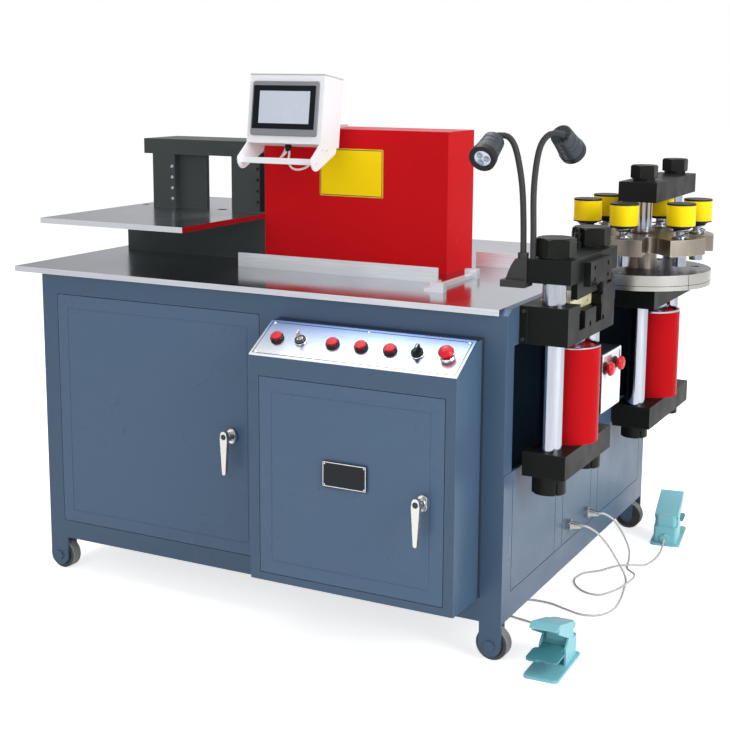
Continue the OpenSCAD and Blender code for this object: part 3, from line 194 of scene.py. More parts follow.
def make_world():
    """A white studio: an even light, a white backdrop, and a room for metal to mirror."""
    world = bpy.data.worlds.new("studio")
    world.use_nodes = True
    tree = world.node_tree
    even = tree.nodes["Background"]
    feed(tree, even, {"Color": WHITE, "Strength": AMBIENT})
    backdrop = add_node(tree, "ShaderNodeBackground", {"Color": WHITE, "Strength": 1.0})
    toward = add_node(tree, "ShaderNodeTexCoord", {}).outputs["Generated"]
    side = add_node(tree, "ShaderNodeVectorMath", {0: toward, 1: BRIGHT_SIDE},
                    operation="DOT_PRODUCT").outputs["Value"]
    ramp = add_node(tree, "ShaderNodeValToRGB", {"Fac": ranged(tree, side, -1, 1)})
    while len(ramp.color_ramp.elements) < len(SIDE_LEVELS):
        ramp.color_ramp.elements.new(1.0)
    for element, (position, level) in zip(ramp.color_ramp.elements, SIDE_LEVELS):
        element.position = position
        element.color = (level, level, min(level * SIDE_BLUE, 1), 1)
    height = add_node(tree, "ShaderNodeSeparateXYZ", {0: toward}).outputs["Z"]
    room = mixed(tree, ranged(tree, height, *OVERHEAD), ramp.outputs["Color"], WHITE)
    mirrored = add_node(tree, "ShaderNodeBackground", {"Color": room})
    shown = even.outputs[0]
    for fraction, source in ((ray_is(tree, "Is Glossy Ray"), mirrored),
                             (ray_is(tree, "Is Camera Ray", "Is Transmission Ray"), backdrop)):
        shown = add_node(tree, "ShaderNodeMixShader",
                         {0: fraction, 1: shown, 2: source.outputs[0]}).outputs[0]
    feed(tree, tree.nodes["World Output"], {"Surface": shown})
    bpy.context.scene.world = world


def make_lamps():
    """The four soft boxes."""
    for name, at, size, power, aim in SOFT_BOXES:
        data = bpy.data.lights.new(name, "AREA")
        data.shape = "SQUARE"
        data.size = size
        data.energy = power
        lamp = new_object(name, data)
        lamp.location = machine(*at)
        lamp.rotation_mode = "QUATERNION"
        lamp.rotation_quaternion = (machine(*aim) - lamp.location).to_track_quat("-Z", "Y")


make_camera()
make_floor()
make_world()
make_lamps()
bpy.context.scene.view_settings.view_transform = "Standard"

# ---------- materials ----------

GLOSS_SPREAD = 0.08
NOISE_RANGE = (0.3, 0.7)  # where most of a noise's values lie
BRUSHED_TONES = (0.9, 1.04)
HIGHLIGHT_EDGE = (0.985, 0.90, 0.0, 0.75)  # painted highlight on rounded edges: from a flat face's cosine to an edge's, and how much shows


def srgb(display, factor=1.0):
    """Linear colour from 0 to 255 display values."""
    def linear(c):
        c /= 255
        return c / 12.92 if c <= 0.04045 else ((c + 0.055) / 1.055) ** 2.4
    return tuple(min(linear(c) * factor, 1) for c in display) + (1,)


def surface(name, colour, roughness, metallic=0.0, *, mottle=0.06, mottle_scale=6.0, grain=0.15,
            grain_scale=400.0, grain_depth=0.0002, stretch=(1, 1, 1), edge_highlight=None,
            highlight_radius=0.002, specular=0.5, glow=0.0, painted_reflection=None):
    """A procedural surface: slow colour drift, uneven gloss, fine grain and, if asked, painted edge
    highlights.

    Colours are display values. stretch squeezes the grain's pattern along an axis, so a small
    number draws it out into brush lines along that axis. glow is the strength of light of the
    surface's own. The last argument, (height, height, colour), is a painted reflection: the tint
    that comes in between two heights in metres.
    """
    material = bpy.data.materials.new(name)
    material.use_nodes = True
    tree = material.node_tree
    shader = tree.nodes["Principled BSDF"]
    place = add_node(tree, "ShaderNodeTexCoord", {}).outputs["Object"]
    drift = add_node(tree, "ShaderNodeTexNoise", {
        "Scale": mottle_scale, "Detail": 5, "Vector": place}).outputs["Fac"]
    squeezed = add_node(tree, "ShaderNodeMapping", {
        "Scale": stretch, "Vector": place}).outputs["Vector"]
    fine = add_node(tree, "ShaderNodeTexNoise", {
        "Scale": grain_scale, "Detail": 3, "Vector": squeezed}).outputs["Fac"]

    tint = mixed(tree, drift, srgb(colour, 1 - mottle), srgb(colour, 1 + mottle))
    if stretch != (1, 1, 1):
        tone = ranged(tree, fine, *NOISE_RANGE, *BRUSHED_TONES)
        tint = mixed(tree, 1, tint, tone, blend_type="MULTIPLY")
    # painted reflection: a tint that comes in between two heights
    if painted_reflection is not None:
        bottom, top, reflected_colour = painted_reflection
        height = add_node(tree, "ShaderNodeSeparateXYZ", {0: place}).outputs["Z"]
        tint = mixed(tree, ranged(tree, height, bottom, top), tint, srgb(reflected_colour))
    # painted highlight: a lighter colour where the faces round over at edges
    if edge_highlight is not None:
        rounded = add_node(tree, "ShaderNodeBevel", {"Radius": highlight_radius}, samples=4)
        flat = add_node(tree, "ShaderNodeNewGeometry", {})
        turn = add_node(tree, "ShaderNodeVectorMath", {
            0: rounded.outputs["Normal"], 1: flat.outputs["Normal"]}, operation="DOT_PRODUCT")
        edge = ranged(tree, turn.outputs["Value"], *HIGHLIGHT_EDGE)
        tint = mixed(tree, edge, tint, srgb(edge_highlight))

    gloss = ranged(tree, drift, *NOISE_RANGE, max(roughness - GLOSS_SPREAD, 0.02),
                   min(roughness + GLOSS_SPREAD, 1))
    relief = add_node(tree, "ShaderNodeBump", {
        "Strength": grain, "Distance": grain_depth, "Height": fine})
    feed(tree, shader, {
        "Base Color": tint, "Metallic": metallic, "Roughness": gloss,
        "Specular IOR Level": specular, "Normal": relief.outputs["Normal"]})
    if glow:
        feed(tree, shader, {"Emission Color": srgb(colour), "Emission Strength": glow})
    return material


ALONG_X = (0.03, 1, 1)
ALONG_Y = (1, 0.03, 1)
ALONG_Z = (1, 1, 0.03)

paint_blue = surface("paint_blue", (68, 91, 116), 0.34, mottle=0.03, grain=0.1, grain_scale=900,
                     edge_highlight=(110, 130, 150), highlight_radius=0.0015, specular=0.3)
paint_door = surface("paint_door", (79, 103, 130), 0.32, mottle=0.03, grain=0.1, grain_scale=900,
                     edge_highlight=(112, 132, 152), highlight_radius=0.0012, specular=0.25)
steel_table = surface("steel_table", (190, 193, 200), 0.17, 1.0, mottle=0.1, mottle_scale=3,
                      stretch=ALONG_X, grain=0.12, grain_scale=260, edge_highlight=(225, 224, 218))
steel_plate = surface("steel_plate", (198, 201, 207), 0.16, 1.0, mottle=0.07, mottle_scale=3,
                      stretch=ALONG_Y, grain=0.12, grain_scale=260, edge_highlight=(225, 222, 214))
stainless = surface("stainless", (206, 210, 216), 0.26, 1.0, mottle=0.04, stretch=ALONG_X,
                    grain=0.08, grain_scale=500, edge_highlight=(235, 236, 238), highlight_radius=0.0008)
# the console's top edge is tinted blue: a painted reflection of the blue paint above it
console_steel = surface("console_steel", (222, 226, 232), 0.24, 1.0, mottle=0.03, stretch=ALONG_X,
                        grain=0.06, grain_scale=500, edge_highlight=(235, 236, 238), highlight_radius=0.0008,
                        painted_reflection=(0.744, 0.806, (104, 128, 172)))
stainless_bright = surface("stainless_bright", (232, 234, 238), 0.36, 0.55, mottle=0.03,
                           stretch=ALONG_X, grain=0.06, grain_scale=400)
paint_dark = surface("paint_dark", (62, 67, 66), 0.48, mottle=0.14, mottle_scale=9, grain=0.25,
                     grain_scale=220, edge_highlight=(98, 103, 102), specular=0.22)
paint_red = surface("paint_red", (201, 24, 30), 0.22, mottle=0.03, grain=0.04, grain_scale=160,
                    edge_highlight=(224, 58, 56), highlight_radius=0.0012, specular=0.012)
# the cover's red paint made darker for the cylinders: painted shade
paint_red_shaded = surface("paint_red_shaded", (182, 20, 26), 0.24, mottle=0.03, grain=0.04,
                         grain_scale=160, edge_highlight=(214, 50, 50), highlight_radius=0.0012, specular=0.015)
steel_black = surface("steel_black", (26, 28, 27), 0.42, mottle=0.18, mottle_scale=14, grain=0.2,
                      grain_scale=300, edge_highlight=(66, 69, 66), highlight_radius=0.0016, specular=0.07)
nut_black = surface("nut_black", (25, 27, 25), 0.4, mottle=0.2, mottle_scale=20, grain=0.2,
                    grain_scale=300, edge_highlight=(70, 73, 68), highlight_radius=0.0016, specular=0.1)
chrome = surface("chrome", (168, 173, 183), 0.14, 1.0, mottle=0.03, grain=0.05, grain_scale=300,
                 stretch=ALONG_Z)
chrome_bright = surface("chrome_bright", (232, 234, 238), 0.12, 1.0, mottle=0.02, grain=0.03,
                        grain_scale=300)
chrome_lever = surface("chrome_lever", (206, 203, 200), 0.24, 0.9, mottle=0.08, mottle_scale=30,
                       grain=0.05, grain_scale=300)
steel_star = surface("steel_star", (146, 138, 128), 0.34, 1.0, mottle=0.12, mottle_scale=10,
                     grain=0.1, grain_scale=300, stretch=ALONG_Z, edge_highlight=(214, 208, 198))
steel_disc = surface("steel_disc", (176, 175, 170), 0.28, 1.0, mottle=0.05, mottle_scale=5,
                     grain=0.02, grain_scale=300, edge_highlight=(224, 222, 216))
# the die disc's steel, darker for its top face: a painted dark reflection
steel_disc_painted_reflection = surface("steel_disc_painted_reflection", (88, 88, 90), 0.3, 1.0, mottle=0.08, mottle_scale=5,
                         grain=0.03, grain_scale=300)
bronze = surface("bronze", (96, 66, 48), 0.42, 1.0, mottle=0.2, mottle_scale=16, grain=0.2,
                 grain_scale=300)
steel_cream = surface("steel_cream", (222, 216, 176), 0.32, 0.25, mottle=0.08, mottle_scale=12,
                      grain=0.15, grain_scale=240)
paint_yellow = surface("paint_yellow", (247, 216, 8), 0.36, mottle=0.03, mottle_scale=30,
                       grain=0.06, grain_scale=300, specular=0.15)
steel_spring = surface("steel_spring", (164, 165, 168), 0.4, 1.0, mottle=0.15, mottle_scale=40,
                       grain=0.1, grain_scale=300)
plastic_red = surface("plastic_red", (206, 24, 38), 0.25, mottle=0.03, mottle_scale=40, grain=0.03,
                      grain_scale=500, specular=0.3)
plastic_black = surface("plastic_black", (26, 27, 29), 0.42, mottle=0.08, mottle_scale=40,
                        grain=0.2, grain_scale=700, specular=0.2)
panel_white = surface("panel_white", (238, 239, 244), 0.42, mottle=0.01, grain=0.1,
                      grain_scale=700, specular=0.25)
paint_grey = surface("paint_grey", (186, 188, 190), 0.45, mottle=0.04, grain=0.12, grain_scale=500)
bezel_grey = surface("bezel_grey", (132, 133, 140), 0.4, mottle=0.04, mottle_scale=20, grain=0.15,
                     grain_scale=800, edge_highlight=(168, 169, 175), highlight_radius=0.0008)
glass_black = surface("glass_black", (24, 27, 34), 0.14, mottle=0.03, grain=0.01, specular=0.2)
screen_lit = surface("screen_lit", (190, 198, 210), 0.22, mottle=0.035, mottle_scale=8, grain=0.01,
                     specular=0.2, glow=0.12)
lamp_black = surface("lamp_black", (44, 50, 58), 0.42, mottle=0.08, mottle_scale=20, grain=0.15,
                     grain_scale=500, edge_highlight=(84, 92, 102), highlight_radius=0.001, specular=0.3)
neck_dark = surface("neck_dark", (54, 53, 54), 0.5, mottle=0.1, mottle_scale=20, grain=0.15,
                    grain_scale=500, edge_highlight=(92, 92, 94), highlight_radius=0.001, specular=0.25)
lens_silver = surface("lens_silver", (182, 190, 200), 0.2, 0.8, mottle=0.08, mottle_scale=60,
                      grain=0.05)
led_grey = surface("led_grey", (136, 148, 164), 0.2, 0.6, mottle=0.1, mottle_scale=60, grain=0.05)
rubber_grey = surface("rubber_grey", (70, 72, 74), 0.7, mottle=0.12, mottle_scale=30, grain=0.3,
                      grain_scale=260)
rubber_tread = surface("rubber_tread", (150, 150, 150), 0.75, mottle=0.12, mottle_scale=30,
                       grain=0.3, grain_scale=260)
paint_pedal = surface("paint_pedal", (128, 196, 206), 0.42, mottle=0.05, mottle_scale=25,
                      grain=0.3, grain_scale=160, grain_depth=0.0004, edge_highlight=(170, 222, 228),
                      highlight_radius=0.0015)
paint_pedal_dark = surface("paint_pedal_dark", (70, 136, 146), 0.5, mottle=0.06, mottle_scale=25,
                           grain=0.3, grain_scale=160, grain_depth=0.0004)
gland_metal = surface("gland_metal", (186, 186, 184), 0.26, 1.0, mottle=0.1, mottle_scale=60,
                      grain=0.1)
cable_grey = surface("cable_grey", (196, 196, 194), 0.5, mottle=0.05, mottle_scale=30, grain=0.1,
                     grain_scale=300)
cable_white = surface("cable_white", (232, 230, 228), 0.45, mottle=0.04, mottle_scale=30,
                      grain=0.1, grain_scale=300)
label_yellow = surface("label_yellow", (252, 216, 0), 0.4, mottle=0.03, mottle_scale=20,
                       grain=0.05, grain_scale=600, specular=0.12)
# dark border lines and lock discs, and also painted shade: the electrical box's shadow line and the
# shade in a hole in the bend table
dark_and_painted_shade = surface("dark_and_painted_shade", (40, 52, 66), 0.6, mottle=0.05, grain=0.1)

NODE_MATERIALS = {
    paint_blue: ("cabinet_shell", "electrical_box"),
    paint_door: ("left_door", "box_door"),
    steel_table: ("work_table",),
    steel_plate: ("bend_table",),
    console_steel: ("console_plate",),
    stainless: ("side_box",),
    stainless_bright: ("fence_rails", "stop_bar"),
    paint_dark: ("bend_frame",),
    paint_red: ("cylinder_cover",),
    paint_red_shaded: ("shear_cylinder", "punch_cylinder"),
    steel_black: ("shear_mid_block", "shear_blocks", "punch_mid_block", "punch_blocks",
                  "bend_cylinder", "shear_upper_blade"),
    nut_black: ("shear_nuts", "punch_nuts"),
    chrome: ("shear_columns", "punch_columns", "shear_rod", "punch_rod", "bend_ram"),
    chrome_lever: ("left_door_handle", "box_door_handle", "key_switch"),
    steel_star: ("turret_plate",),
    steel_disc: ("die_disc",),
    steel_cream: ("shear_lower_blade",),
    paint_yellow: ("work_punch", "idle_punches"),
    steel_spring: ("work_spring", "idle_springs"),
    plastic_red: ("power_switch", "button_1", "button_2", "button_3", "emergency_stop",
                  "side_button_1", "side_button_2"),
    plastic_black: ("selector",),
    panel_white: ("hmi_head",),
    paint_grey: ("hmi_arm",),
    neck_dark: ("lamp_stand",),
    lamp_black: ("lamp_heads",),
    rubber_grey: ("wheel_front_left", "wheel_front_right", "wheel_rear_left",
                  "wheel_rear_right"),
    paint_pedal: ("pedal_front", "pedal_rear"),
    paint_pedal_dark: ("treadle_front", "treadle_rear"),
    gland_metal: ("cable_glands",),
    cable_grey: ("cable_front", "cable_rear"),
}

for material, names in NODE_MATERIALS.items():
    for name in names:
        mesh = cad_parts[name].data
        mesh.materials.clear()
        mesh.materials.append(material)

missing = set(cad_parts) - {name for names in NODE_MATERIALS.values() for name in names}
if missing:
    raise ValueError(f"no material for {sorted(missing)}")


def paint_faces(node, material, where):
    """Gives a second material to the faces of a CAD node whose middle, in mm, passes a test."""
    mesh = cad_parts[node].data
    mesh.materials.append(material)
    slot = len(mesh.materials) - 1
    for polygon in mesh.polygons:
        if where(TO_MACHINE @ polygon.center):
            polygon.material_index = slot


# ---------- shapes, in machine millimetres ----------

SEGMENTS = 48
PIECE_EDGE = 40  # degrees between faces from which a piece's edge is sharp
NODE_EDGE = 35
UP = (0, 0, 1)
TO_FRONT = (0, -1, 0)
TO_RIGHT = (1, 0, 0)
TO_LEFT = (-1, 0, 0)


def turn_to(direction, at):
    """A matrix that stands local Z along direction, with its origin at a point."""
    z = Vector(direction).normalized()
    x = Vector(TO_RIGHT if abs(z.z) > 0.95 else UP)
    y = z.cross(x).normalized()
    x = y.cross(z)
    return Matrix.Translation(Vector(at)) @ Matrix((x, y, z)).transposed().to_4x4()


def facing(direction, at):
    """A matrix on a wall: local Z out of it, local X level to the viewer's right, Y up."""
    z = Vector(direction).normalized()
    x = Vector(UP).cross(z).normalized()
    y = z.cross(x)
    return Matrix.Translation(Vector(at)) @ Matrix((x, y, z)).transposed().to_4x4()


def add_block(bm, low, high, matrix=Matrix()):
    """A box between two corners."""
    corners = ((low[0], low[1]), (high[0], low[1]), (high[0], high[1]), (low[0], high[1]))
    add_prism(bm, corners, high[2] - low[2], matrix @ Matrix.Translation((0, 0, low[2])))


def hexed(radius, angle):
    """A hexagon's radius at an angle, by its corner radius."""
    return radius * math.cos(math.pi / 6) / math.cos(angle % (math.pi / 3) - math.pi / 6)


def add_lathe(bm, profile, matrix, segments=SEGMENTS):
    """A turned shape about local Z from (radius, height) or (radius, height, "hex") points."""
    rings = []
    for radius, height, *form in profile:
        if radius == 0:
            rings.append([bm.verts.new(matrix @ Vector((0, 0, height)))])
            continue
        ring = []
        for k in range(segments):
            angle = 2 * math.pi * k / segments
            r = hexed(radius, angle) if form else radius
            point = Vector((r * math.cos(angle), r * math.sin(angle), height))
            ring.append(bm.verts.new(matrix @ point))
        rings.append(ring)
    for below, above in zip(rings, rings[1:]):
        for k in range(segments):
            n = (k + 1) % segments
            if len(below) == 1:
                bm.faces.new((below[0], above[n], above[k]))
            elif len(above) == 1:
                bm.faces.new((below[k], below[n], above[0]))
            else:
                bm.faces.new((below[k], below[n], above[n], above[k]))


def add_prism(bm, outline, depth, matrix):
    """A flat outline in local XY, raised to a depth along local Z."""
    low = [bm.verts.new(matrix @ Vector((x, y, 0))) for x, y in outline]
    high = [bm.verts.new(matrix @ Vector((x, y, depth))) for x, y in outline]
    bm.faces.new(list(reversed(low)))
    bm.faces.new(high)
    for k in range(len(outline)):
        n = (k + 1) % len(outline)
        bm.faces.new((low[k], low[n], high[n], high[k]))


def rounded_outline(width, height, radius, steps=6):
    """A rectangle with round corners about the origin."""
    points = []
    for sx, sy, start in ((1, 1, 0), (-1, 1, 90), (-1, -1, 180), (1, -1, 270)):
        for k in range(steps + 1):
            angle = math.radians(start + 90 * k / steps)
            points.append((sx * (width / 2 - radius) + radius * math.cos(angle),
                           sy * (height / 2 - radius) + radius * math.sin(angle)))
    return points


def add_frame(bm, width, height, border, radius, depth, matrix):
    """A flat rounded frame, raised to a depth."""
    outer = rounded_outline(width, height, radius)
    inner = rounded_outline(width - 2 * border, height - 2 * border, max(radius - border, 0.3))
    loops = []
    for outline, z in ((outer, 0), (outer, depth), (inner, depth), (inner, 0)):
        loops.append([bm.verts.new(matrix @ Vector((x, y, z))) for x, y in outline])
    for a, b in zip(loops, loops[1:]):
        for k in range(len(outer)):
            n = (k + 1) % len(outer)
            bm.faces.new((a[k], a[n], b[n], b[k]))


def carry(made, body):
    """Lets a piece ride on a body."""
    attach(made, body)
    return made


def piece(name, bm, material, body, bevel=0.0):
    """Turns a bmesh in machine millimetres into a named piece that rides on a body."""
    bmesh.ops.recalc_face_normals(bm, faces=bm.faces)
    bmesh.ops.transform(bm, matrix=TO_ROW, verts=bm.verts)
    mesh = bpy.data.meshes.new(name)
    bm.to_mesh(mesh)
    bm.free()
    mesh.materials.append(material)
    made = new_object(name, mesh)
    mesh.shade_smooth()
    mesh.set_sharp_from_angle(angle=math.radians(PIECE_EDGE))
    if bevel:
        soften(made, bevel, PIECE_EDGE)
    return carry(made, body)


def soften(made, width, angle):
    """Small round edges, by a width in millimetres, where faces meet at more than an angle."""
    soft = made.modifiers.new("soft_edges", "BEVEL")
    soft.width = width * MM
    soft.segments = 2
    soft.limit_method = "ANGLE"
    soft.angle_limit = math.radians(angle)
    soft.harden_normals = True


def add_socket_screw(bm, at, direction, radius):
    """A cylindrical head with a hexagon socket, standing on its seat."""
    height = radius * 1.1
    add_lathe(bm, (
        (radius, -0.4), (radius, height * 0.86), (radius * 0.88, height), (radius * 0.6, height),
        (radius * 0.56, height, "hex"), (radius * 0.56, height * 0.4, "hex"),
        (0, height * 0.34)), turn_to(direction, at), 24)


def add_dome_screw(bm, at, direction, radius):
    """A low dome head with a dimple."""
    add_lathe(bm, (
        (radius, -0.3), (radius, radius * 0.12), (radius * 0.86, radius * 0.34),
        (radius * 0.5, radius * 0.5), (radius * 0.26, radius * 0.5), (radius * 0.16, radius * 0.3),
        (0, radius * 0.28)), turn_to(direction, at), 24)


def screws(name, places, radius, material=chrome, add_head=add_dome_screw):
    """One piece with a screw head at every place, all facing the front."""
    bm = bmesh.new()
    for at in places:
        add_head(bm, at, TO_FRONT, radius)
    piece(name, bm, material, "cabinet")


def tube(name, points, radius, material, body):
    """A smooth round wire through points."""
    curve = bpy.data.curves.new(name, "CURVE")
    curve.dimensions = "3D"
    curve.bevel_depth = radius * MM
    curve.bevel_resolution = 4
    curve.use_fill_caps = True
    spline = curve.splines.new("POLY")
    spline.points.add(len(points) - 1)
    for target, point in zip(spline.points, points):
        target.co = (*(TO_ROW @ point), 1)
    spline.use_smooth = True
    curve.materials.append(material)
    return carry(new_object(name, curve), body)


def through(points, steps):
    """Catmull-Rom points along a route."""
    made = []
    last = len(points) - 1
    for i in range(last):
        a, b, c, d = (Vector(points[max(min(i + k, last), 0)]) for k in (-1, 0, 1, 2))
        for k in range(steps):
            t = k / steps
            made.append(0.5 * (2 * b + (c - a) * t + (2 * a - 5 * b + 4 * c - d) * t * t
                               + (3 * b - a - 3 * c + d) * t ** 3))
    made.append(Vector(points[last]))
    return made


def cord(name, route, radius, material, body, steps):
    """A free cord through a route."""
    points = through(route, steps)
    made = tube(name, points, radius, material, body)
    return made


# ---------- places, from the CAD nodes ----------

SPANS = {name: span(name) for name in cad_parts}


def low(node):
    """A CAD node's lowest corner."""
    return SPANS[node][0]


def high(node):
    """A CAD node's highest corner."""
    return SPANS[node][1]


def middle(*nodes):
    """The middle of the box around some CAD nodes."""
    return Vector([(min(low(n)[i] for n in nodes) + max(high(n)[i] for n in nodes)) / 2
                   for i in range(3)])


CABINET_RIGHT = high("cabinet_shell").x


# ---------- pedal cables ----------

CABLE_RADIUS = 3
# each cable's way over the floor: X from the cabinet's right side, Y, Z
CABLE_ROUTES = {
    "front": (
        (40, 470, 217), (52, 478, 216), (62, 545, 178), (70, 625, 118), (78, 690, 54),
        (90, 712, 16), (108, 680, 4), (124, 610, 4), (138, 530, 4), (142, 460, 4),
        (122, 404, 4), (80, 384, 4), (30, 398, 4), (-24, 418, 4), (-80, 416, 4),
        (-138, 386, 4), (-150, 330, 4), (-100, 290, 4), (-28, 272, 4), (46, 254, 4),
        (96, 230, 6), (112, 196, 14)),
    "rear": (
        (40, 620, 208), (52, 634, 206), (58, 715, 162), (62, 800, 92), (62, 858, 30),
        (68, 840, 8), (84, 770, 6), (122, 715, 12), (128, 650, 16), (112, 584, 12),
        (78, 540, 5), (36, 540, 4), (-4, 574, 4), (-24, 622, 4), (-16, 678, 4),
        (20, 716, 6), (62, 746, 18), (98, 778, 16), (122, 824, 6), (132, 886, 4),
        (132, 950, 8)),
}
# the corner each pedal turns about: X from the cabinet's right side, Y, and its yaw
PEDALS = {"front": (156, 150, 182), "rear": (79, 1017, 8)}
PEDAL_WIDTH = 88
PEDAL_GLAND_OUT = 5
PEDAL_GLAND_UP = 24


def pedal_frame(side):
    """A pedal's own axes: X across it, Y from its heel to the toe plate."""
    x, y, yaw = PEDALS[side]
    return (Matrix.Translation((CABINET_RIGHT + x, y, 0))
            @ Matrix.Rotation(math.radians(yaw), 4, "Z"))


def make_cable(side):
    """One pedal cable, from its gland to the back of its pedal."""
    route = [(CABINET_RIGHT + x, y, z) for x, y, z in CABLE_ROUTES[side]]
    for out in (14, 0):
        end = Vector((PEDAL_WIDTH / 2, -PEDAL_GLAND_OUT - out, PEDAL_GLAND_UP))
        route.append(tuple(pedal_frame(side) @ end))
    made = cord(f"pedal_cable_{side}", route, CABLE_RADIUS, cable_grey, "cabinet",
                6)
    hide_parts(f"cable_{side}")


for side in PEDALS:
    make_cable(side)


# ---------- soft edges and second colours of CAD nodes ----------

SOFT_EDGES = {
    1.5: ("shear_mid_block", "shear_blocks", "punch_mid_block", "punch_blocks", "bend_frame",
          "bend_cylinder"),
    1.0: ("work_table", "bend_table", "electrical_box", "side_box", "stop_bar", "turret_plate",
          "shear_lower_blade", "console_plate"),
    2.0: ("left_door", "box_door", "hmi_head", "cylinder_cover"),
}
for width, names in SOFT_EDGES.items():
    for name in names:
        soften(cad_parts[name], width, NODE_EDGE)

TURRET = middle("die_disc")
CAP_Z = 1010  # underside of the punches' caps
HUB_TOP_RADIUS = 40
HUB_TOP_Z = low("turret_plate").z + 60
GUIDES_FROM = 60  # the turret's axis to the punches' guides, at least
STAR_BOTTOM = 932  # underside of the star plate's arms
SKIN = 0.5  # how far a face's middle may be off the surface it belongs to
TREAD = 2


def from_turret(at):
    """A place's distance from the turret's axis."""
    return math.hypot(at.x - TURRET.x, at.y - TURRET.y)


for name in NODE_MATERIALS[paint_yellow]:
    paint_faces(name, chrome, lambda at: at.z < CAP_Z - SKIN)
paint_faces("turret_plate", bronze,
            lambda at: from_turret(at) < HUB_TOP_RADIUS and at.z > HUB_TOP_Z)
# the die disc's top faces get the painted dark reflection
paint_faces("die_disc", steel_disc_painted_reflection, lambda at: at.z > high("die_disc").z - SKIN)
paint_faces("turret_plate", chrome,
            lambda at: at.z < STAR_BOTTOM - SKIN and from_turret(at) > GUIDES_FROM)
for name in NODE_MATERIALS[rubber_grey]:
    axle = middle(name)
    rim = (high(name).z - low(name).z) / 2 - TREAD
    paint_faces(name, rubber_tread,
                lambda at: math.hypot(at.x - axle.x, at.z - axle.z) > rim)


# ---------- doors ----------

LEVER_TOP_TO_AXIS = 21


def make_lock(door, handle):
    """The plate, ring and lock disc of a door lever."""
    face = low(door).y
    axis = Vector((middle(handle).x, face, high(handle).z - LEVER_TOP_TO_AXIS))
    bm = bmesh.new()
    add_prism(bm, rounded_outline(25, 40, 12, 10), 4, facing(TO_FRONT, axis))
    add_lathe(bm, ((12, 4), (11.5, 9), (10.6, 10)), facing(TO_FRONT, axis), 32)
    piece(f"{door}_lock_plate", bm, chrome_lever, door, bevel=1.2)
    bm = bmesh.new()
    out = Vector((axis.x, low(handle).y, axis.z + 6))
    add_lathe(bm, ((7.4, 0), (7.4, 0.5), (6, 0.9), (5.6, 0.5), (0, 0.5)),
              facing(TO_FRONT, out), 32)
    piece(f"{handle}_lock_disc", bm, dark_and_painted_shade, handle)


make_lock("left_door", "left_door_handle")
make_lock("box_door", "box_door_handle")


PLATE_DEPTH = 0.7
RIVET_IN = 7  # from a plate's edges


def bordered_plate(name, at, width, height, material, border, body, rim, radius, rivets):
    """A thin plate on a front face with a border line, and small rivets if asked."""
    on = facing(TO_FRONT, at)
    bm = bmesh.new()
    add_prism(bm, rounded_outline(width, height, radius), PLATE_DEPTH, on)
    piece(name, bm, material, body, bevel=0.2)
    bm = bmesh.new()
    add_frame(bm, width - 2 * rim, height - 2 * rim, rim, max(radius - rim, 0.5), 0.25,
              on @ Matrix.Translation((0, 0, PLATE_DEPTH)))
    across, up = width / 2 - RIVET_IN, height / 2 - RIVET_IN
    for sx in (-1, 1) if rivets else ():
        for sy in (-1, 1):
            add_dome_screw(bm, on @ Vector((sx * across, sy * up, PLATE_DEPTH)), TO_FRONT, 2)
    piece(f"{name}_border", bm, border, body)


bordered_plate("box_door_plate", (1048, low("box_door").y, 466), 122, 66, glass_black,
               panel_white, "box_door", rim=2, radius=2, rivets=True)


# ---------- console ----------

CONSOLE_DEPTH = 130
CONSOLE_RISE = 66
CONSOLE_SLOPE = math.asin(CONSOLE_RISE / CONSOLE_DEPTH)
CONSOLE_LENGTH = high("console_plate").x - low("console_plate").x
CONSOLE_MARGIN = 6
CONSOLE_SKIN = 3
CONSOLE_SCREW_IN = (14, 9.5)
SLOPE = (Matrix.Translation((low("console_plate").x, low("electrical_box").y,
                             low("console_plate").z))
         @ Matrix.Rotation(CONSOLE_SLOPE, 4, "X"))


def on_slope(x, along=CONSOLE_DEPTH / 2):
    """A matrix on the console's face, from a machine X and a way up the slope."""
    return SLOPE @ Matrix.Translation((x - low("console_plate").x, along, CONSOLE_SKIN))


bm = bmesh.new()
add_frame(bm, CONSOLE_LENGTH - 2 * CONSOLE_MARGIN, CONSOLE_DEPTH - 2 * CONSOLE_MARGIN, 2, 1.5,
          0.2, on_slope(middle("console_plate").x))
piece("console_border", bm, dark_and_painted_shade, "cabinet")

bm = bmesh.new()
screw_x, screw_along = CONSOLE_SCREW_IN
for x in (screw_x, CONSOLE_LENGTH / 2, CONSOLE_LENGTH - screw_x):
    for along in (screw_along, CONSOLE_DEPTH - screw_along):
        on = on_slope(low("console_plate").x + x, along)
        add_dome_screw(bm, on.to_translation(), on.to_3x3() @ Vector(UP), 4)
piece("console_screws", bm, chrome_bright, "cabinet")

BUTTON_TOP = 12  # the red caps' height over the console's face
bm = bmesh.new()
for name in ("power_switch", "button_1", "button_2", "button_3"):
    on = on_slope(middle(name).x)
    add_lathe(bm, ((17.4, 0), (17.4, 5.4), (16.8, 6.12), (13.8, 6.12), (13.6, 5.6)), on, 40)
    cap = bmesh.new()
    add_lathe(cap, ((13, BUTTON_TOP - 1.6), (14, BUTTON_TOP - 1.5), (14.2, BUTTON_TOP - 0.4),
                    (13.3, BUTTON_TOP + 0.6), (9, BUTTON_TOP + 0.9), (0, BUTTON_TOP + 1)),
              on, 40)
    piece(f"{name}_face", cap, plastic_red, name)
piece("button_bezels", bm, plastic_black, "cabinet")

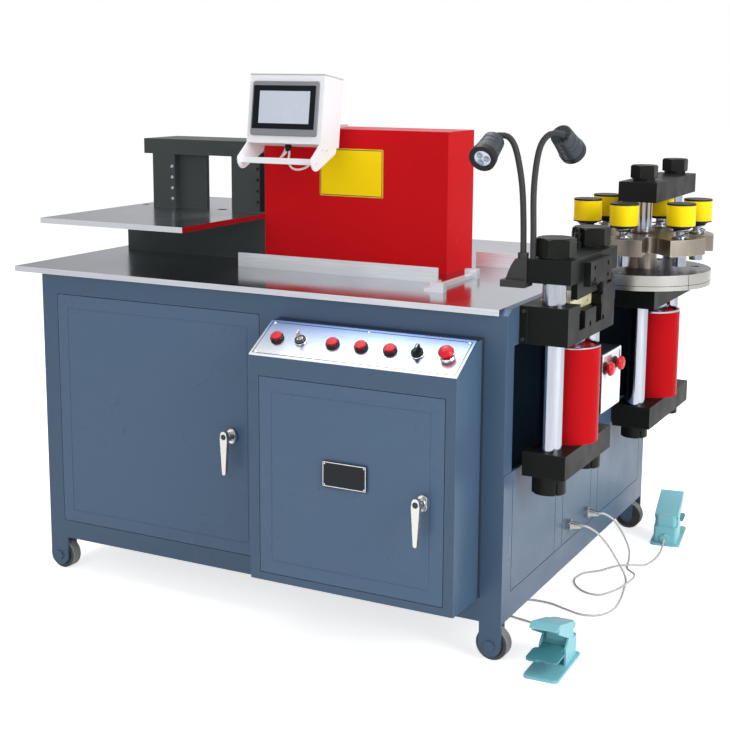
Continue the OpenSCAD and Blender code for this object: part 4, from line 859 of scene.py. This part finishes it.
# a dark strip painted as the shadow line where the electrical box meets the cabinet, along its
# right side and top
SHADOW_LINE_WIDTH = 6
SHADOW_LINE_DEPTH = 2.5
near, far = low("electrical_box"), high("electrical_box")
bm = bmesh.new()
add_block(bm, (far.x, far.y - SHADOW_LINE_DEPTH, near.z), (far.x + SHADOW_LINE_WIDTH, far.y, far.z))
add_block(bm, (near.x, far.y - SHADOW_LINE_DEPTH, far.z),
          (far.x + SHADOW_LINE_WIDTH, far.y, far.z + SHADOW_LINE_WIDTH))
piece("electrical_box_shadow_line", bm, dark_and_painted_shade, "cabinet", bevel=0.4)

bm = bmesh.new()
add_lathe(bm, ((18, 0), (18, 1.2), (17.3, 3.6), (16.4, 4.4), (9.3, 4.4), (9.2, 3.6)),
          on_slope(middle("emergency_stop").x), 40)
add_lathe(bm, ((16.5, 0.1), (16.5, 1.6), (15.6, 2.2), (15.2, 2.2)),
          on_slope(middle("key_switch").x), 40)
piece("switch_collars", bm, chrome_bright, "cabinet")

bm = bmesh.new()
add_lathe(bm, ((14.1, 1), (14.4, 1.4), (14.4, 6.6), (13.2, 8.7), (8.4, 8.7), (8.2, 8.2)),
          on_slope(middle("key_switch").x), 40)
piece("key_switch_collar", bm, plastic_black, "key_switch")

bm = bmesh.new()
on = on_slope(middle("selector").x)
add_prism(bm, rounded_outline(2, 13, 0.9), 0.35, on @ Matrix.Translation((0, 6, 20)))
piece("selector_mark", bm, panel_white, "selector")
bm = bmesh.new()
add_lathe(bm, ((17.6, 0), (17.6, 0.7), (17, 1.2), (15.4, 1.2)), on, 40)
piece("selector_ring", bm, chrome_bright, "cabinet")


# ---------- operator panel ----------

HMI_LEAN = math.radians(8)
HMI_HEIGHT = 190
HMI_WIDTH = high("hmi_head").x - low("hmi_head").x
HMI_DEPTH = 92
HMI_RETURN = 11  # the folded rim behind the head
HMI_FOOT_Y = 302  # the lower edge of the head's front
HEAD = (Matrix.Translation((low("hmi_head").x, HMI_FOOT_Y,
                            high("hmi_head").z - HMI_HEIGHT * math.cos(HMI_LEAN)))
        @ Matrix.Rotation(-HMI_LEAN, 4, "X"))
HEAD_FRONT = HEAD @ Matrix.Rotation(math.pi / 2, 4, "X")


BEZEL_DEPTH = 6
GLASS_DEPTH = 0.5
SCREEN_DEPTH = 0.3


def head_panel(name, across, up, out, depth, radius, material, bevel):
    """A rounded slab on the head's front, between two places across it and two up it."""
    (left, right), (bottom, top) = across, up
    bm = bmesh.new()
    add_prism(bm, rounded_outline(right - left, top - bottom, radius), depth,
              HEAD_FRONT @ Matrix.Translation(((left + right) / 2, (bottom + top) / 2, out)))
    piece(name, bm, material, "hmi_head", bevel=bevel)


head_panel("hmi_bezel", (13, HMI_WIDTH - 13), (20.3, 168.8), 0, BEZEL_DEPTH, radius=7,
           material=bezel_grey, bevel=1.6)
head_panel("hmi_glass", (17.5, HMI_WIDTH - 22), (38.5, 157.7), BEZEL_DEPTH, GLASS_DEPTH,
           radius=2, material=glass_black, bevel=0.2)
head_panel("hmi_screen", (38, 198), (53.7, 142.5), BEZEL_DEPTH + GLASS_DEPTH, SCREEN_DEPTH,
           radius=1, material=screen_lit, bevel=0)

bm = bmesh.new()
add_block(bm, (-0.6, -0.6, HMI_HEIGHT - 4),
          (HMI_WIDTH + 0.6, HMI_DEPTH + HMI_RETURN, HMI_HEIGHT + 0.5), HEAD)
piece("hmi_top_lid", bm, paint_grey, "hmi_head", bevel=1)

bm = bmesh.new()
add_frame(bm, HMI_WIDTH, HMI_HEIGHT, 3, 2, HMI_RETURN, HEAD_FRONT
          @ Matrix.Translation((HMI_WIDTH / 2, HMI_HEIGHT / 2, -HMI_DEPTH - HMI_RETURN)))
piece("hmi_back_rim", bm, panel_white, "hmi_head")

bm = bmesh.new()
for x, out in ((-0.1, TO_LEFT), (HMI_WIDTH + 0.1, TO_RIGHT)):
    for y, z in ((10, -12), (34, -12), (-18, -50)):
        add_dome_screw(bm, HEAD @ Vector((x, y, z)), HEAD.to_3x3() @ Vector(out), 3.6)
piece("hmi_ear_screws", bm, chrome_bright, "hmi_head")

PANEL_GLAND = Matrix.Translation((112, 40, 0))
bm = bmesh.new()
add_lathe(bm, ((9, 0.5), (9, -4), (11, -4, "hex"), (11, -9, "hex"), (8.4, -10), (7.4, -16),
               (4.6, -19), (0, -19)), HEAD @ PANEL_GLAND, 36)
piece("hmi_gland", bm, plastic_black, "hmi_head")

PANEL_CABLES = {
    "panel_cable_back": ((108, 40, -16), (104, 40, -24), (92, 44, -33), (80, 54, -38),
                         (74, 66, -36), (72, 80, -26), (74, 88, -12), (76, 90, 0.5)),
    "panel_cable_loop": ((116, 40, -16), (118, 38, -26), (122, 30, -42), (132, 22, -58),
                         (148, 18, -68), (168, 20, -68), (186, 28, -58), (198, 38, -38),
                         (202, 46, -18), (203, 48, 0.5)),
}
for name, route in PANEL_CABLES.items():
    cord(name, [tuple(HEAD @ Vector(point)) for point in route], CABLE_RADIUS, cable_white,
         "hmi_head", 4)


# ---------- bending station ----------

bordered_plate("cover_plate", (742.5, low("cylinder_cover").y, 1145), 201, 134, label_yellow,
               dark_and_painted_shade, "cabinet", rim=2.2, radius=3, rivets=False)

BEND_FACE = low("bend_frame").y
POST_SCREWS = 4
POST_SCREW_STEP = 32.4


def post_screws(x, top):
    """The places of the screws in a post's front, from the top one down."""
    return [(x, BEND_FACE, top - k * POST_SCREW_STEP) for k in range(POST_SCREWS)]


screws("left_post_screws", post_screws(130, 1140.5), 5.5)
screws("right_post_screws", post_screws(433.7, 1144), 4.5, nut_black)

bm = bmesh.new()
add_block(bm, (441, BEND_FACE - 0.8, 1020), (457.5, BEND_FACE, 1190))
piece("right_post_strip", bm, steel_black, "cabinet")

# a dark disc painted as the shade inside a hole in the bend table
bm = bmesh.new()
add_lathe(bm, ((9, 0), (9, 0.5), (6, 0.5), (5.4, 0.2), (0, 0.2)),
          turn_to(UP, (0, 490, high("bend_table").z)), 32)
piece("bend_table_hole_shade", bm, dark_and_painted_shade, "cabinet")


# ---------- shear ----------

STRIP_WIDTH = 20
near, far = low("shear_mid_block"), high("shear_mid_block")
STRIP_FACE = near.y - 2
bm = bmesh.new()
add_block(bm, (near.x, STRIP_FACE, near.z + 1), (near.x + STRIP_WIDTH, near.y, far.z - 23))
piece("shear_strip", bm, nut_black, "cabinet", bevel=0.6)
screws("shear_strip_screws", [(1411, STRIP_FACE, 868), (1409, STRIP_FACE, 799)], 4.5,
       material=neck_dark, add_head=add_socket_screw)

bm = bmesh.new()
for at in ((high("shear_blocks").x - 0.5, 219, 918), (far.x, 349, 921.5)):
    on = facing(TO_RIGHT, at)
    add_lathe(bm, ((5, 0), (5, 6), (11, 6.5), (12, 8), (12, 17), (11, 18.5), (4, 18.5),
                   (3.4, 17), (0, 17)), on, 32)
piece("shear_thumb_screws", bm, nut_black, "shear_frame")

SHEAR_FITTINGS = ((1450, 334, 993), (1466, 347, 993))
bm = bmesh.new()
for at in SHEAR_FITTINGS:
    add_lathe(bm, ((9, 0), (9, 3), (10.5, 3, "hex"), (10.5, 14, "hex"), (7, 15), (7, 24),
                   (9.5, 25, "hex"), (9.5, 36, "hex"), (6, 38), (6, 46), (4, 49), (0, 49)),
              turn_to(UP, at), 36)
piece("shear_fittings", bm, nut_black, "shear_frame")


def make_cylinder_top(node, body, thickness):
    """The silver rim on a hydraulic cylinder's end."""
    centre = middle(node)
    radius = (high(node).x - low(node).x) / 2
    on = turn_to(UP, (centre.x, centre.y, high(node).z))
    bm = bmesh.new()
    add_lathe(bm, ((radius - 1, 0), (radius - 0.4, 0.4), (radius - 0.4, thickness - 1),
                   (radius - 1.6, thickness), (radius - 9, thickness), (radius - 9.6, 0)), on, 64)
    piece(f"{node}_rim", bm, chrome, body)


make_cylinder_top("shear_cylinder", "shear_frame", 4)
make_cylinder_top("punch_cylinder", "punch_frame", 6)


# ---------- punching turret ----------

STATIONS = 6
WORK_STATION = middle("work_punch")
STATION_RADIUS = from_turret(WORK_STATION)
WORK_ANGLE = math.atan2(WORK_STATION.y - TURRET.y, WORK_STATION.x - TURRET.x)
CAP_RADIUS = (high("work_punch").x - low("work_punch").x) / 2
CAP_TOP = high("work_punch").z
CAP_LID = CAP_TOP + 7  # the caps are taller than the CAD's
STAR_TOP = 977
CAP_TOP_PROFILE = (
    (CAP_RADIUS, CAP_LID - 4.4), (CAP_RADIUS + 0.7, CAP_LID - 4), (CAP_RADIUS + 0.7, CAP_LID),
    (CAP_RADIUS + 0.1, CAP_LID + 0.9), (CAP_RADIUS - 5, CAP_LID + 0.9),
    (CAP_RADIUS - 6, CAP_LID + 0.4), (12, CAP_LID + 0.4), (10, CAP_LID + 0.9),
    (0, CAP_LID + 0.9))
CAP_BAND_PROFILE = ((CAP_RADIUS, CAP_Z + 2.9), (CAP_RADIUS + 0.4, CAP_Z + 3.4),
                    (CAP_RADIUS + 0.4, CAP_LID - 4.2), (CAP_RADIUS - 1, CAP_LID - 3.6))
CAP_FOOT_PROFILE = ((CAP_RADIUS - 4, CAP_Z - 0.5), (CAP_RADIUS + 0.3, CAP_Z - 0.5),
                    (CAP_RADIUS + 0.6, CAP_Z), (CAP_RADIUS + 0.6, CAP_Z + 2.6),
                    (CAP_RADIUS, CAP_Z + 3.2))
CAP_NECK_PROFILE = ((24.5, CAP_Z), (24.5, CAP_Z - 5.6), (27, CAP_Z - 5.6), (28, CAP_Z - 4.6),
                    (28, CAP_Z))
CUP_PROFILE = ((19.6, CAP_Z - 2), (19.6, CAP_Z - 13), (19, CAP_Z - 14), (18.2, CAP_Z - 14),
               (18.2, CAP_Z - 2))
COLLAR_PROFILE = ((17.5, STAR_TOP), (17.5, STAR_TOP + 6), (16.6, STAR_TOP + 7.5),
                  (14.6, STAR_TOP + 7.5), (14.4, STAR_TOP + 6))


def station(k):
    """A matrix on the floor under a punch station; station 0 is the working one."""
    angle = WORK_ANGLE + k * 2 * math.pi / STATIONS
    return Matrix.Translation((TURRET.x + STATION_RADIUS * math.cos(angle),
                               TURRET.y + STATION_RADIUS * math.sin(angle), 0))


for body, stations in (("work_punch", (0,)), ("turret", range(1, STATIONS))):
    rims, bands = bmesh.new(), bmesh.new()
    for k in stations:
        for profile in (CAP_TOP_PROFILE, CAP_FOOT_PROFILE, CAP_NECK_PROFILE):
            add_lathe(rims, profile, station(k))
        add_lathe(bands, CAP_BAND_PROFILE, station(k))
        if body == "turret":
            add_lathe(rims, CUP_PROFILE, station(k))
    piece(f"{body}_cap_rims", rims, plastic_black, body)
    piece(f"{body}_cap_bands", bands, paint_yellow, body)
bm = bmesh.new()
for k in range(STATIONS):
    add_lathe(bm, COLLAR_PROFILE, station(k), 36)
piece("punch_collars", bm, chrome, "turret")

near, far = low("die_disc"), high("die_disc")
DISC_RADIUS = (far.x - near.x) / 2
DISC_RIM = DISC_RADIUS + 0.15
DISC_JOINT_Z = (850, 851.4)
DISC_JOINT_ANGLE = math.radians(-32)
bm = bmesh.new()
axis = Matrix.Translation((TURRET.x, TURRET.y, 0))
add_block(bm, (-2, -0.7, near.z + 1), (0.25, 0.7, far.z - 1),
          axis @ Matrix.Rotation(DISC_JOINT_ANGLE, 4, "Z")
          @ Matrix.Translation((DISC_RADIUS, 0, 0)))
joint_low, joint_high = DISC_JOINT_Z
add_lathe(bm, ((DISC_RADIUS - 1, joint_low), (DISC_RIM, joint_low), (DISC_RIM, joint_high),
               (DISC_RADIUS - 1, joint_high)), axis, 96)
piece("die_disc_lines", bm, steel_black, "turret")


# ---------- side box ----------

SIDE_BOX_OUT = 80
SIDE_FACE = CABINET_RIGHT + SIDE_BOX_OUT
SIDE_Z = (533, 692)
SIDE_RIM = 7
SIDE_PANEL_HEIGHT = 99
SIDE_PANEL_DOWN = 23  # from the face's middle
width = high("side_box").y - low("side_box").y
height = SIDE_Z[1] - SIDE_Z[0]
on = facing(TO_RIGHT, (SIDE_FACE, middle("side_box").y, sum(SIDE_Z) / 2))
bm = bmesh.new()
add_frame(bm, width - 1, height - 1, SIDE_RIM, 5, 1.6, on)
piece("side_box_border", bm, chrome_bright, "cabinet", bevel=0.5)
bm = bmesh.new()
add_prism(bm, rounded_outline(width - 2 * SIDE_RIM, SIDE_PANEL_HEIGHT, 3), 0.6,
          on @ Matrix.Translation((0, -SIDE_PANEL_DOWN, 0)))
piece("side_box_panel", bm, panel_white, "cabinet", bevel=0.2)
bm = bmesh.new()
for name in ("side_button_1", "side_button_2"):
    add_lathe(bm, ((17, 0), (17, 1.5), (15.6, 4), (9.6, 4), (9.2, 3)),
              facing(TO_RIGHT, (SIDE_FACE, middle(name).y, middle(name).z)), 36)
piece("side_button_rings", bm, plastic_black, "cabinet")


# ---------- lamps ----------

# each lamp's back end and the way it points
LAMPS = (((1330, 61, 1268), (0.032, -0.893, -0.449)),
         ((1476, 113, 1285), (0.085, 0.845, -0.528)))
LAMP_BACK = 26.5
LAMP_FRONT = 32.5
LAMP_LENGTH = 86
LENS_RADIUS = 20.2
LAMP_BODY = (
    (0, 0), (9, 0), (LAMP_BACK - 3, 0), (LAMP_BACK, 3), (LAMP_BACK + 1, 22), (LAMP_BACK, 23),
    (LAMP_BACK, 26), (LAMP_BACK + 1.4, 27), (LAMP_BACK + 2, 40), (LAMP_BACK + 1, 41),
    (LAMP_BACK + 1, 43), (LAMP_BACK + 2.4, 44), (LAMP_FRONT - 1, LAMP_LENGTH - 18),
    (LAMP_FRONT - 1, LAMP_LENGTH - 8))
LAMP_RING = (
    (LAMP_FRONT - 1.4, LAMP_LENGTH - 18), (LAMP_FRONT, LAMP_LENGTH - 17),
    (LAMP_FRONT, LAMP_LENGTH - 1.5), (LAMP_FRONT - 1.5, LAMP_LENGTH),
    (LENS_RADIUS + 2, LAMP_LENGTH), (LENS_RADIUS, LAMP_LENGTH - 2), (LENS_RADIUS, LAMP_LENGTH - 6))
LEDS = 3
LED_RADIUS = 8
LED_TURN = math.radians(30)
VENTS = 12
bodies, rings, lenses, leds = (bmesh.new() for _ in range(4))
for at, direction in LAMPS:
    on = turn_to(direction, at)
    add_lathe(bodies, LAMP_BODY, on)
    for k in range(VENTS):
        vent = (on @ Matrix.Rotation(2 * math.pi * k / VENTS, 4, "Z")
                @ Matrix.Translation((LAMP_BACK - 8, 0, -0.3)))
        add_block(rings, (-4, -1.2, 0), (4, 1.2, 1), vent)
    add_lathe(rings, LAMP_RING, on)
    add_lathe(lenses, ((LENS_RADIUS, LAMP_LENGTH - 3), (LENS_RADIUS - 1.5, LAMP_LENGTH - 2.4),
                       (0, LAMP_LENGTH - 2.4)), on, 40)
    for k in range(LEDS):
        led = (on @ Matrix.Rotation(LED_TURN + 2 * math.pi * k / LEDS, 4, "Z")
               @ Matrix.Translation((LENS_RADIUS / 2, 0, LAMP_LENGTH - 2.6)))
        add_lathe(leds, ((LED_RADIUS, 0), (LED_RADIUS - 0.6, 1), (LED_RADIUS - 2.4, 1.4),
                         (LED_RADIUS - 3.4, 0.6), (0, 0.5)), led, 24)
made = piece("lamp_bodies", bodies, lamp_black, "shear_frame")
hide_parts("lamp_heads")
piece("lamp_rings", rings, plastic_black, "shear_frame")
piece("lamp_lenses", lenses, lens_silver, "shear_frame")
piece("lamp_leds", leds, led_grey, "shear_frame")


# ---------- pedals ----------

PEDAL_PLATE = (40, 22)
PEDAL_PLATE_AT = Matrix.Translation((PEDAL_WIDTH / 2, 30, 93))
for side in PEDALS:
    bm = bmesh.new()
    add_prism(bm, rounded_outline(*PEDAL_PLATE, 2), 0.6, pedal_frame(side) @ PEDAL_PLATE_AT)
    piece(f"pedal_plate_{side}", bm, paint_grey, "cabinet", bevel=0.2)
